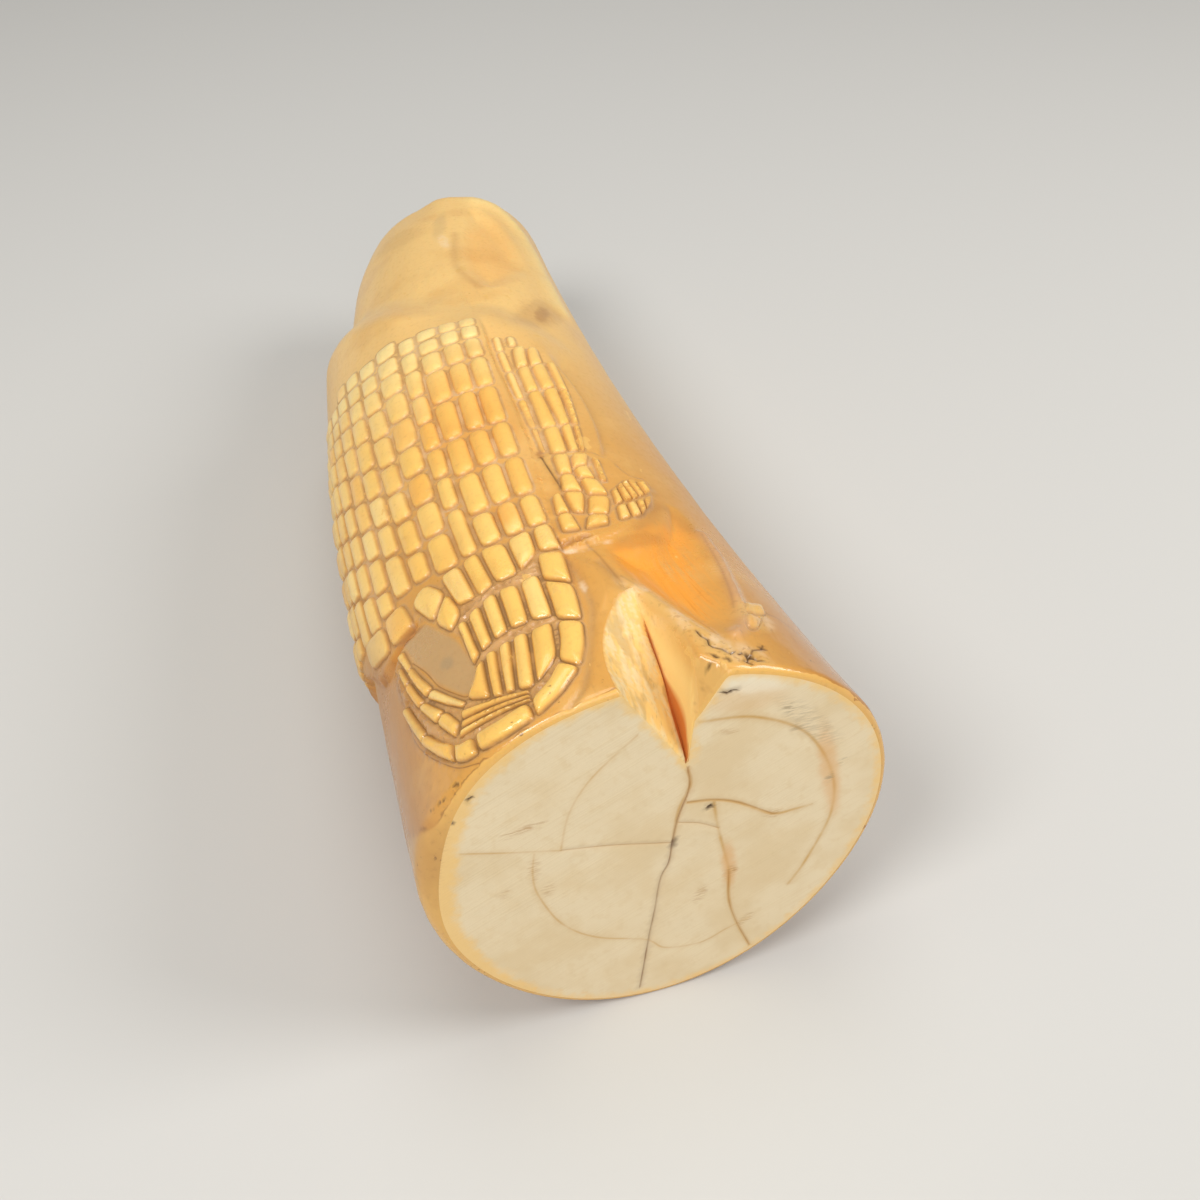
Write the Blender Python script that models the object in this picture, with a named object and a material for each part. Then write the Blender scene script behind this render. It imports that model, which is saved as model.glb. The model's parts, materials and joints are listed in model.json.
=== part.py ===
"""Carved ivory tusk: one cut length of tusk, lying on its side, relief-carved with a scaled hide.

One solid, built as a loft. The tusk's skin is laid out flat as a chart, with the angle round
the tusk across it and the distance from the cut end along it. Outlines and scales are drawn
on the chart, the chart is triangulated through them, and each point is then lifted off a
bent, tapered, slightly lobed body. The broken notch at the cut end is a Boolean cut.

Frame: +Z up, the tusk runs along +Y from its cut end, and the origin is under the middle of
the object's box, on the surface it lies on. Chart angles are degrees: 0 is +X, 90 is the crest
and 180 is -X. Chart distances and heights are millimetres.
"""

import math

import bmesh
import bpy
from mathutils import Matrix, Vector
from mathutils.geometry import delaunay_2d_cdt

MM = 0.001

# Body
LENGTH = 141.6
CUT_RADIUS = 26.6
TIP_RADIUS = 16.85
SWELL = 0.26               # how much the taper is held back past the middle, as a fraction
BEND = 4.1                 # sideways bow of the axis, towards -X
LOBES = 0.029              # three soft lobes at the cut end, as a fraction of the radius
TIP_OVAL = 0.036           # slant oval section at the tip
REST_FLAT = 0.35           # depth of the flat that it lies on
CUT_TURN = -0.073          # slope of the sawn face across the axis
CUT_FADE = 15.0            # distance over which the sections swing square to the axis
RIM_ROUND = 1.2
TIP_ROUND = 3.2
TIP_BEVEL = 1.1            # slope worn off the upper left of the tip
TIP_BEVEL_RUN = 15.0

# Relief
HIDE_START = 0.27          # height of the scales' tops above the body at the cut end
HIDE_GAIN = 0.0385         # and how much higher they stand for each millimetre along
CELL_RISE = 0.55           # scales above the grooves between them
GROOVE = 0.4
SHOULDER = 0.38            # width of a scale's rounded shoulder
EDGE_RUN = 0.45            # run of the crisp step round the carving
FAR_RUN = 11.0             # run of the long slope where the carving ends
FLANK_RUN = 2.2
LIMB_RUN = 1.0
FOOT_RUN = 0.8

# Scale columns of the hide: first groove, pitch, and the splay towards the tip
COLUMN_FIRST = 94.7
COLUMN_PITCHES = (6.4, 6.4, 6.9, 5.9, 8.0, 7.2, 7.2, 7.3, 7.3, 7.4, 7.4, 7.5, 7.5, 7.5, 7.5)
CREST_COLUMNS = 3
CREST_ROWS = (28.8, 35.2, 43.5, 51.5, 60.7, 68.7, 74.2, 78.4, 82.1, 85.4)
FLANK_ROWS = (29.0, 36.0, 42.7, 49.1, 55.4, 62.2, 69.0, 74.4, 79.0, 83.2, 87.0)
FLANK_ROW_STEP = 4.6       # further rows on the flank, where the hide runs further out

# Curled pad at the cut end, an arch of cells round a fan of long cells
PAD_MIDDLE = 124.0
PAD_HALF_ANGLE = 26.5
PAD_FOOT = 1.3
PAD_SPRING = 18.0
PAD_POWER = 2.6

# Sunk plain field beside the fan
FIELD_CENTRE = (136.6, 17.9)
FIELD_HALF_LENGTH = 8.3
FIELD_HALF_WIDTH = 2.3
FIELD_TILT = 27.5

# Scoop, lobe, hollows and the broken notch
SCOOP_DEPTH = 1.9
SCOOP_RUN = 5.0
LOBE_RISE = 0.8
FLUTE_DEPTH = 0.8
NOTCH_FLOOR = (2.8, 12.5)  # across and above the axis, where the notch is deepest
NOTCH_LENGTH = 16.0
NOTCH_LEFT = -4.6          # where its slope and its wall meet the skin at the cut end
NOTCH_RIGHT = 4.2
NOTCH_BULGE = 1.0
CHIP_ANGLES = (60.0, 78.0)
CHIP_DEPTH = 1.7

# Mesh
CHART_RADIUS = 24.0        # radius at which chart degrees become chart millimetres
SQUEEZE = 0.45             # the chart is squeezed lengthways, so its triangles run along the tusk
AROUND = 48
ROWS = 15
OUTLINE_STEP = 6.0
SEAM = -90.0

COLOUR_IVORY = (0.80, 0.56, 0.27, 1.0)


def smooth(value):
    """Return the smooth step of a value, held between 0 and 1."""
    held = min(1.0, max(0.0, value))
    return held * held * (3.0 - 2.0 * held)


def mix(start, end, share):
    """Return the value a share of the way from start to end."""
    return start + (end - start) * share


# ---------------------------------------------------------------- body

def body_radius(along):
    """Return the nominal radius at a distance from the cut end."""
    share = along / LENGTH
    taper = share - SWELL * share * share * (1.0 - share)
    return CUT_RADIUS - (CUT_RADIUS - TIP_RADIUS) * taper


def section_radius(angle, along):
    """Return the radius of the lobed, oval section in one direction."""
    turn = math.radians(angle)
    lobed = math.exp(-2.0 * along / LENGTH)
    return body_radius(along) * (1.0 + LOBES * lobed * math.sin(3.0 * turn)
                                 + TIP_OVAL * (1.0 - lobed) * math.sin(2.0 * turn))


def axis_point(along):
    """Return the axis point in millimetres, at the height that leaves the resting flat."""
    share = along / LENGTH
    return Vector((-4.0 * BEND * share * (1.0 - share), along,
                   section_radius(270.0, along) - REST_FLAT))


def tip_wear(angle, along):
    """Return how much the worn slope at the upper left of the tip takes off."""
    run = smooth((along - (LENGTH - TIP_BEVEL_RUN)) / TIP_BEVEL_RUN)
    side = smooth((angle - 90.0) / 20.0) * smooth((190.0 - angle) / 40.0)
    return TIP_BEVEL * run * side


def section_place(across, along, rise):
    """Place a point of a cross section in space, in metres before the final move.

    Args:
        across: distance from the axis towards +X, in millimetres.
        along: distance of the section from the cut end.
        rise: distance above the axis.
    """
    tangent = (axis_point(along + 0.5) - axis_point(along - 0.5)).normalized()
    right = tangent.cross(Vector((0.0, 0.0, 1.0))).normalized()
    up = right.cross(tangent)
    skew = CUT_TURN * across * math.exp(-max(0.0, along) / CUT_FADE)
    return (axis_point(along) + right * across + up * rise + tangent * skew) * MM


def body_point(angle, along, lift=0.0, draw_in=0.0):
    """Place a chart point in space, in metres before the final move to the origin.

    Args:
        angle: direction round the axis, in degrees.
        along: distance from the cut end, in millimetres.
        lift: height above the plain body.
        draw_in: how far the point is drawn in towards the axis, for rims and end faces.
    """
    reach = section_radius(angle, along) + lift - tip_wear(angle, along) - draw_in
    turn = math.radians(angle)
    place = section_place(reach * math.cos(turn), along, reach * math.sin(turn))
    place.z = max(place.z, 0.0)
    return place


# ---------------------------------------------------------------- chart outlines

def flat(angle, along):
    """Return a chart point in chart millimetres, for measuring distances."""
    return Vector((math.radians(angle) * CHART_RADIUS, along))


def unflat(point):
    """Return the (angle, along) pair of a point in chart millimetres."""
    return (math.degrees(point[0] / CHART_RADIUS), point[1])


def arch_point(turn, inset=0.0):
    """Return a point of the pad's arch, from 0 on its right round its foot to 180 on its left."""
    half = PAD_HALF_ANGLE - math.degrees(inset / CHART_RADIUS)
    drop = PAD_SPRING - PAD_FOOT - inset
    cosine = math.cos(math.radians(turn))
    sine = math.sin(math.radians(turn))
    power = 2.0 / PAD_POWER
    return (PAD_MIDDLE - half * math.copysign(abs(cosine) ** power, cosine),
            PAD_SPRING - drop * abs(sine) ** power)


def field_point(turn, inset=0.0):
    """Return a point of the sunk field's long oval; 0 is its end away from the cut."""
    tilt = math.radians(FIELD_TILT)
    lengthways = (FIELD_HALF_LENGTH - inset) * math.cos(math.radians(turn))
    sine = math.sin(math.radians(turn))
    sideways = (FIELD_HALF_WIDTH - inset) * math.copysign(abs(sine) ** 0.75, sine)
    centre = flat(*FIELD_CENTRE)
    return unflat((centre.x + lengthways * math.sin(tilt) + sideways * math.cos(tilt),
                   centre.y + lengthways * math.cos(tilt) - sideways * math.sin(tilt)))


def hide_outline():
    """Return the outline of the raised carving, with the sunk field as a bay in it."""
    right = [(91.5, 86.0), (90.3, 68.0), (90.3, 50.0), (92.5, 38.0), (95.0, 29.0), (96.6, 22.0)]
    arch = [arch_point(turn) for turn in range(0, 181, 12)]
    bay = [field_point(turn) for turn in range(-25, -361 + 25, -24)]
    near = [(137.5, 25.8), (146.0, 26.2), (157.0, 26.2), (165.0, 30.0), (178.0, 36.5), (196.0, 39.5)]
    flank = [(207.0, 45.0), (209.0, 70.0), (207.0, 98.0)]
    far = [(190.0, 106.0), (171.0, 103.5), (152.0, 98.6), (133.0, 92.9), (112.0, 86.6)]
    return right + arch + [(150.4, 23.6)] + bay + near + flank + far


def arm_outline():
    """Return the outline of the lower limb on the right of the hide."""
    return [(87.4, 43.6), (73.0, 43.6), (68.6, 48.0), (66.6, 56.0), (68.0, 64.0), (72.5, 74.0),
            (66.0, 84.0), (76.0, 88.0), (83.0, 86.0), (86.6, 78.0), (87.0, 60.0)]


def foot_outline():
    """Return the outline of the small-scaled foot below the limb."""
    return [(89.5, 42.4), (73.2, 42.4), (66.0, 37.5), (61.5, 36.6), (66.5, 30.6), (77.0, 26.4),
            (86.0, 25.0), (93.6, 25.4), (93.8, 30.0), (91.2, 38.0)]


def scoop_outline():
    """Return the outline of the scooped hollow on the right of the pad."""
    return [(85.2, 22.6), (84.0, 17.8), (79.5, 11.5), (76.5, 6.0), (72.0, 3.6), (66.4, 5.4),
            (60.6, 10.8), (56.4, 17.6), (53.2, 25.0), (52.4, 31.0), (57.0, 33.6), (65.4, 29.2),
            (76.0, 25.0)]


def flute_outline():
    """Return the outline of the shallow flute that runs out at the tip."""
    return [(89.6, LENGTH - 8.0), (89.8, 104.0), (87.6, 93.0), (82.5, 89.6), (75.0, 94.0),
            (69.8, 104.0), (67.6, 118.0), (67.0, LENGTH - 8.0)]


def lobe_outline():
    """Return the outline of the smooth lobe between the pad and the scoop."""
    return [(95.6, 22.6), (95.0, 16.5), (91.5, 13.6), (86.6, 15.6), (86.8, 22.0), (90.5, 23.4)]


# ---------------------------------------------------------------- measuring on the chart

def outline_distance(outline, angle, along):
    """Return the distance to an outline in chart millimetres, negative inside it."""
    point = flat(angle, along)
    corners = [flat(*corner) for corner in outline]
    nearest = 1e9
    inside = False
    for start, end in zip(corners, corners[1:] + corners[:1]):
        edge = end - start
        share = min(1.0, max(0.0, (point - start).dot(edge) / edge.length_squared))
        nearest = min(nearest, (point - start - edge * share).length)
        if (start.y > point.y) != (end.y > point.y):
            crossing = start.x + (point.y - start.y) / (end.y - start.y) * (end.x - start.x)
            if point.x < crossing:
                inside = not inside
    return -nearest if inside else nearest


def hide_run(angle, along):
    """Return the run of the step down from the hide at a place on its edge."""
    far = smooth((along - 80.0) / 6.0) * smooth((angle - 88.0) / 4.0)
    flank = smooth((angle - 185.0) / 15.0)
    return mix(mix(EDGE_RUN, FLANK_RUN, flank), FAR_RUN, far)


HIDE = hide_outline()
ARM = arm_outline()
FOOT = foot_outline()
SCOOP = scoop_outline()
FLUTE = flute_outline()
LOBE = lobe_outline()


def hide_height(along):
    """Return the height of the ground between the scales of the hide."""
    return max(0.0, HIDE_START + HIDE_GAIN * along - CELL_RISE)


def ground(angle, along):
    """Return the height of the carved ground above the plain body at a chart point."""
    outside = outline_distance(HIDE, angle, along)
    height = hide_height(along) * (1.0 - smooth(outside / hide_run(angle, along)))
    limb = outline_distance(ARM, angle, along)
    height = max(height, 0.62 * hide_height(along) * (1.0 - smooth(limb / LIMB_RUN)))
    foot = outline_distance(FOOT, angle, along)
    height = max(height, 0.75 * hide_height(along) * (1.0 - smooth(foot / FOOT_RUN)))
    lobe = outline_distance(LOBE, angle, along)
    height = max(height, LOBE_RISE * smooth(-lobe / 1.6))
    scoop = outline_distance(SCOOP, angle, along)
    height -= SCOOP_DEPTH * smooth(-scoop / SCOOP_RUN)
    flute = outline_distance(FLUTE, angle, along)
    height -= FLUTE_DEPTH * smooth(-flute / 2.5)
    return height


# ---------------------------------------------------------------- scales

def rail_point(rail, share):
    """Return the point a share of the way along a line of (angle, along) points."""
    points = [flat(*point) for point in rail]
    lengths = [(b - a).length for a, b in zip(points, points[1:])]
    left = share * sum(lengths)
    for start, end, length in zip(points, points[1:], lengths):
        if left <= length:
            return unflat(start.lerp(end, left / length))
        left -= length
    return unflat(points[-1])


def strip(rail_a, rail_b, cuts):
    """Return the four-cornered cells between two rails, cut across at shares along them."""
    cells = []
    for start, end in zip(cuts, cuts[1:]):
        cells.append([rail_point(rail_a, start), rail_point(rail_a, end),
                      rail_point(rail_b, end), rail_point(rail_b, start)])
    return cells


def fan(top, bottom, top_angles, bottom_angles):
    """Return a row of long cells standing side by side between two distances."""
    corners = list(zip(top_angles, bottom_angles))
    cells = []
    for (top_a, bottom_a), (top_b, bottom_b) in zip(corners, corners[1:]):
        cells.append([(top_a, top), (bottom_a, bottom(bottom_a)),
                      (bottom_b, bottom(bottom_b)), (top_b, top)])
    return cells


def column_line(index, along):
    """Return the angle of a groove between columns, which splay apart towards the tip."""
    angle = COLUMN_FIRST + sum(COLUMN_PITCHES[:index])
    splay = -4.0 + 9.0 * smooth((angle - 95.0) / 55.0)
    return angle + splay * (along - 30.0) / 55.0


def hide_cells():
    """Return the hide's scales: columns side by side, the flank's rows set half a scale apart."""
    cells = []
    for column in range(len(COLUMN_PITCHES)):
        middle = column_line(column, 60.0)
        far_end = 85.8 + 0.295 * max(0.0, column_line(column, 85.0) + 3.0 - 110.0)
        near_end = 28.8 if column < 6 else 26.9 + 0.33 * max(0.0, middle - 160.0)
        rows = list(CREST_ROWS if column < CREST_COLUMNS else FLANK_ROWS)
        while rows[-1] + FLANK_ROW_STEP < far_end:
            rows.append(rows[-1] + FLANK_ROW_STEP)
        if column == CREST_COLUMNS:
            rows = [rows[0]] + [row + 2.6 for row in rows[1:-1]]
        elif column > 5 and column % 2 == 0:
            rows = [near_end] + [mix(a, b, 0.5) for a, b in zip(rows, rows[1:])]
        rows = [row for row in rows if near_end - 0.1 <= row < far_end]
        if column > 5 and rows[0] - near_end > 2.5:
            rows.insert(0, near_end)
        for near, far in zip(rows, rows[1:]):
            cells.append([(column_line(column, near), near), (column_line(column, far), far),
                          (column_line(column + 1, far), far), (column_line(column + 1, near), near)])
    return cells


def arch_cells(turns, outer, inner):
    """Return cells of the pad's arch between two insets, cut at turns round the arch."""
    cells = []
    for start, end in zip(turns, turns[1:]):
        middle = mix(start, end, 0.5)
        cells.append([arch_point(start, outer), arch_point(middle, outer), arch_point(end, outer),
                      arch_point(end, inner), arch_point(middle, inner), arch_point(start, inner)])
    return cells


def pad_cells():
    """Return the cells of the curled pad: outer arch, fan rows, thin ridges and left bands."""
    cells = strip([(96.9, 28.4), (96.6, 22.4), (97.8, 17.5), (99.3, 11.2)],
                  [(102.6, 28.8), (103.0, 24.2), (103.8, 19.0), (104.6, 12.8)], (0.0, 0.31, 0.64, 1.0))
    cells += arch_cells((25.0, 46.0, 84.0), 0.25, 3.0)
    cells += arch_cells((88.0, 121.0, 138.0), 0.25, 2.9)
    cells += arch_cells((139.0, 152.0, 165.0, 178.0), 0.25, 1.7)
    cells += fan(29.2, lambda angle: 23.1, (103.0, 109.2, 115.9, 121.4, 128.2),
                 (103.2, 108.6, 115.6, 119.9, 125.4))
    cells += fan(21.5, lambda angle: 14.6, (103.6, 109.2, 115.5, 120.1, 124.8),
                 (104.2, 110.2, 115.5, 119.8, 124.0))
    cells += fan(13.2, lambda angle: 7.0 + 0.17 * max(0.0, angle - 115.0),
                 (105.0, 111.4, 115.9, 119.8, 123.4), (109.0, 115.8, 119.3, 121.6, 124.2))
    cells.append([(124.9, 20.6), (128.6, 19.4), (127.2, 15.2), (124.2, 14.5)])
    cells.append([(126.4, 12.4), (123.6, 13.3), (124.5, 8.6), (130.4, 9.3), (127.6, 10.4)])
    cells.append([(128.4, 29.3), (136.6, 29.0), (134.4, 26.2), (130.4, 25.5), (127.6, 26.2)])
    cells.append([(130.2, 25.2), (132.6, 24.0), (129.4, 20.6), (125.4, 21.0), (127.0, 25.2)])
    for near, far in ((4.55, 5.5), (5.55, 6.5), (6.55, 7.5)):
        cells.append([(117.8, near), (118.6, far), (127.0, far + 0.35), (135.6, far + 0.7),
                      (136.8, near + 0.7), (127.0, near + 0.25)])
    cells += strip([(146.0, 23.8), (141.8, 16.8), (134.6, 9.4)], [(149.4, 23.8), (145.4, 17.0), (138.0, 9.4)],
                   (0.0, 0.25, 0.62, 1.0))
    cells += strip([(145.2, 16.0), (138.2, 9.0)], [(148.0, 14.6), (141.4, 7.0)], (0.0, 0.5, 1.0))
    return cells


def limb_cells():
    """Return the narrow scales of the limb and the small scales of the foot."""
    cells = strip([(85.6, 44.4), (85.0, 60.0), (83.8, 75.0)], [(80.4, 44.4), (79.6, 60.0), (79.6, 75.0)],
                  (0.0, 0.21, 0.46, 0.7, 0.86, 1.0))
    cells += strip([(80.0, 44.4), (79.2, 60.0), (79.2, 75.0)], [(75.4, 44.4), (74.8, 60.0), (76.4, 75.0)],
                   (0.0, 0.3, 0.56, 0.8, 1.0))
    cells += strip([(74.9, 46.0), (74.2, 60.0)], [(71.4, 48.0), (70.6, 60.0)], (0.0, 0.5, 1.0))
    cells += strip([(88.2, 41.8), (89.4, 34.6)], [(82.4, 41.8), (82.4, 34.6)], (0.0, 0.6, 1.0))
    cells += strip([(81.9, 41.8), (81.9, 33.0)], [(77.0, 41.8), (76.4, 33.0)], (0.0, 0.34, 0.68, 1.0))
    cells += strip([(76.6, 41.4), (75.9, 34.6)], [(73.4, 41.4), (71.8, 36.0)], (0.0, 0.45, 1.0))
    cells += strip([(93.2, 34.0), (93.4, 29.6)], [(88.6, 34.2), (88.8, 30.2)], (0.0, 1.0))
    cells += strip([(88.2, 34.2), (78.2, 32.6)], [(88.4, 30.2), (78.0, 28.6)], (0.0, 0.33, 1.0))
    cells += strip([(93.4, 29.2), (78.0, 28.2)], [(93.2, 25.8), (79.4, 26.0)], (0.0, 0.45, 1.0))
    cells += strip([(75.6, 34.0), (71.0, 36.0), (63.4, 36.2)], [(76.6, 28.0), (72.4, 30.0), (67.2, 31.4)],
                   (0.0, 0.27, 0.52, 0.76, 1.0))
    return cells


def inset(cell, distance):
    """Return a cell's outline moved inwards, in chart millimetres."""
    points = [flat(*point) for point in cell]
    area = sum(a.x * b.y - b.x * a.y for a, b in zip(points, points[1:] + points[:1]))
    side = 1.0 if area > 0 else -1.0
    moved = []
    for before, point, after in zip(points[-1:] + points[:-1], points, points[1:] + points[:1]):
        first = (point - before).normalized()
        second = (after - point).normalized()
        normal_a = Vector((-first.y, first.x)) * side
        normal_b = Vector((-second.y, second.x)) * side
        spread = max(0.35, 1.0 + normal_a.dot(normal_b))
        moved.append(point + (normal_a + normal_b) * (distance / spread))
    return moved


def cell_width(cell):
    """Return the least width of a cell across its middle, in chart millimetres."""
    points = [flat(*point) for point in cell]
    area = abs(sum(a.x * b.y - b.x * a.y for a, b in zip(points, points[1:] + points[:1]))) / 2.0
    return 2.0 * area / sum((b - a).length for a, b in zip(points, points[1:] + points[:1])) * 1.25


def chamfer(points, share):
    """Return an outline with its corners cut back by a share of their sides."""
    cut = []
    for before, point, after in zip(points[-1:] + points[:-1], points, points[1:] + points[:1]):
        bend = (point - before).angle(after - point, 0.0)
        if bend < math.radians(40.0):
            cut.append(point)
            continue
        cut.append(point.lerp(before, min(share, 0.9 / (point - before).length)))
        cut.append(point.lerp(after, min(share, 0.9 / (after - point).length)))
    return cut


def scale_rings(cell):
    """Return a scale's foot ring and top ring as (angle, along, rise) points."""
    width = cell_width(cell)
    foot_in = min(GROOVE / 2.0, 0.16 * width)
    top_in = foot_in + min(SHOULDER, 0.2 * width)
    foot = inset(cell, foot_in)
    top = chamfer(inset(cell, top_in), 0.26)
    rise = min(CELL_RISE, 0.28 * width + 0.12)
    return [[(*unflat(point), 0.0) for point in foot], [(*unflat(point), rise) for point in top]]


# ---------------------------------------------------------------- skin

def divided(outline, step):
    """Return a closed outline with its long sides divided into even steps."""
    points = []
    for start, end in zip(outline, outline[1:] + outline[:1]):
        first, last = flat(*start), flat(*end)
        count = max(1, round((last - first).length / step))
        points += [unflat(first.lerp(last, number / count)) for number in range(count)]
    return points


def offset_ring(outline, run):
    """Return an outline moved outwards by a run that depends on the place."""
    moved = []
    for point, (angle, along) in zip(inset(outline, -1.0), outline):
        base = flat(angle, along)
        moved.append(unflat(base + (point - base) * run(angle, along)))
    return moved


class Chart:
    """Points and rings on the unrolled skin, triangulated together."""

    def __init__(self):
        self.points = []
        self.lifts = []
        self.edges = []

    def add_point(self, angle, along, lift):
        """Add a free point."""
        spot = flat(angle, along)
        self.points.append(Vector((spot.x, spot.y * SQUEEZE)))
        self.lifts.append((angle, along, lift))
        return len(self.points) - 1

    def add_ring(self, ring, closed=True):
        """Add a line of (angle, along, lift) points whose sides stay edges of the mesh."""
        indices = [self.add_point(*point) for point in ring]
        pairs = zip(indices, indices[1:] + indices[:1]) if closed else zip(indices, indices[1:])
        self.edges.extend(pairs)

    def is_clear(self, angle, along, gap):
        """Say whether a free point would keep clear of every point so far."""
        spot = flat(angle, along)
        place = Vector((spot.x, spot.y * SQUEEZE))
        return all((place - other).length > gap for other in self.points)

    def triangulate(self):
        """Return the (angle, along, lift) points and the triangles of the chart."""
        result = delaunay_2d_cdt(self.points, self.edges, [], 1, 1e-5)
        places, _, faces, origins = result[0], result[1], result[2], result[3]
        lifted = []
        for place, origin in zip(places, origins):
            if origin:
                lifted.append(self.lifts[origin[0]])
            else:
                angle, along = unflat((place.x, place.y / SQUEEZE))
                lifted.append((angle, along, ground(angle, along)))
        return lifted, faces


def skin_chart():
    """Lay out the whole skin between the rounded ends and return it as a chart."""
    chart = Chart()
    start, end = RIM_ROUND, LENGTH - TIP_ROUND
    rows = [mix(start, end, step / ROWS) for step in range(ROWS + 1)]
    angles = [SEAM + 360.0 * step / AROUND for step in range(AROUND + 1)]
    border = ([(angle, start) for angle in angles]
              + [(angles[-1], row) for row in rows[1:-1]]
              + [(angle, end) for angle in reversed(angles)]
              + [(angles[0], row) for row in reversed(rows[1:-1])])
    chart.add_ring([(angle, along, 0.0 if along in (start,) else ground(angle, along))
                    for angle, along in border])
    for angle in (angles[1], angles[-2]):
        chart.add_ring([(angle, row, 0.0) for row in rows], closed=False)
    for cell in hide_cells() + pad_cells() + limb_cells():
        for ring in scale_rings(cell):
            chart.add_ring([(angle, along, ground(angle, along) + rise) for angle, along, rise in ring])
    edges = [(HIDE, hide_run), (ARM, lambda angle, along: LIMB_RUN), (FOOT, lambda angle, along: FOOT_RUN)]
    for outline, run in edges:
        fine = divided(outline, OUTLINE_STEP)
        chart.add_ring([(angle, along, ground(angle, along)) for angle, along in fine])
        for angle, along in offset_ring(fine, run):
            if start + 0.2 < along and chart.is_clear(angle, along, 0.3):
                chart.add_point(angle, along, ground(angle, along))
    for outline, steps in ((SCOOP, (0.0, 1.6, 3.6)), (FLUTE, (0.0, 2.2)), (LOBE, (0.0, 1.2))):
        for step in steps:
            ring = [unflat(point) for point in inset(outline, step)]
            for angle, along in ring:
                if chart.is_clear(angle, along, 0.45):
                    chart.add_point(angle, along, ground(angle, along))
    for number, row in enumerate(rows[1:-1]):
        for angle in angles[1:-1]:
            place = angle + (180.0 / AROUND if number % 2 else 0.0)
            if place < angles[-1] - 2.0 and chart.is_clear(place, row, 0.9):
                chart.add_point(place, row, ground(place, row))
    return chart, angles


def end_loops(angles, at_cut):
    """Return the loops that round an end over and close it, from the skin inwards."""
    radius = RIM_ROUND if at_cut else TIP_ROUND
    loops = []
    for step in range(1, 4):
        turn = math.radians(30.0 * step)
        draw_in = radius * (1.0 - math.cos(turn))
        shift = radius * (1.0 - math.sin(turn))
        along = shift if at_cut else LENGTH - shift
        loops.append([(angle, along, 0.0, draw_in) for angle in angles[:-1]])
    return loops


def build_tusk_mesh():
    """Build the closed body: the lifted skin, its two rounded ends and their flat faces."""
    chart, angles = skin_chart()
    lifted, triangles = chart.triangulate()
    mesh = bmesh.new()
    verts = [mesh.verts.new(body_point(*point)) for point in lifted]
    for triangle in triangles:
        mesh.faces.new([verts[index] for index in triangle])
    for at_cut in (True, False):
        along = RIM_ROUND if at_cut else LENGTH - TIP_ROUND
        loop = [mesh.verts.new(body_point(angle, along, ground(angle, along) if not at_cut else 0.0))
                for angle in angles[:-1]]
        for ring in end_loops(angles, at_cut):
            inner = []
            for angle, place, lift, draw_in in ring:
                height = 0.0 if at_cut else ground(angle, LENGTH - TIP_ROUND)
                inner.append(mesh.verts.new(body_point(angle, place, lift + height, draw_in)))
            for index in range(len(loop)):
                after = (index + 1) % len(loop)
                mesh.faces.new((loop[index], loop[after], inner[after], inner[index]))
            loop = inner
        mesh.faces.new(loop)
    bmesh.ops.remove_doubles(mesh, verts=mesh.verts, dist=1e-6)
    bmesh.ops.dissolve_degenerate(mesh, edges=mesh.edges, dist=1e-6)
    bmesh.ops.recalc_face_normals(mesh, faces=mesh.faces)
    return mesh


# ---------------------------------------------------------------- cutters and finish

def notch_section(along):
    """Return the notch's slope top, floor and wall top in one section, as (across, rise)."""
    share = max(0.0, along) / NOTCH_LENGTH
    skin = body_radius(along)
    floor_rise = mix(NOTCH_FLOOR[1], skin, share ** 1.1)
    floor = (NOTCH_FLOOR[0], floor_rise)
    left = (mix(NOTCH_LEFT, NOTCH_FLOOR[0], share ** 1.6), skin)
    right = (mix(NOTCH_RIGHT, NOTCH_FLOOR[0], share ** 2.0)
             + NOTCH_BULGE * math.sin(math.pi * min(1.0, share)), skin)
    return left, floor, right


def build_notch_cutter():
    """Build the wedge that leaves the broken notch, deepest at the cut end."""
    mesh = bmesh.new()
    loops = []
    for along in (-4.0, 0.0, 3.0, 6.5, 10.0, 13.0, NOTCH_LENGTH):
        left, floor, right = notch_section(along)
        above = 1.35
        corners = []
        for top in (left, right):
            reach = max(1.5, (top[1] - floor[1])) * above
            lean = (top[0] - floor[0]) / max(1.5, top[1] - floor[1])
            corners.append((floor[0] + lean * reach, floor[1] + reach))
        half_way = (mix(floor[0], corners[0][0], 0.45) + 0.5 * math.sin(along),
                    mix(floor[1], corners[0][1], 0.45) - 0.4)
        outline = (corners[0], half_way, floor, corners[1])
        loops.append([mesh.verts.new(section_place(across, along, rise)) for across, rise in outline])
    for near, far in zip(loops, loops[1:]):
        for index in range(len(near)):
            after = (index + 1) % len(near)
            mesh.faces.new((near[index], near[after], far[after], far[index]))
    mesh.faces.new(loops[0])
    mesh.faces.new(loops[-1])
    bmesh.ops.recalc_face_normals(mesh, faces=mesh.faces)
    return mesh


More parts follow.
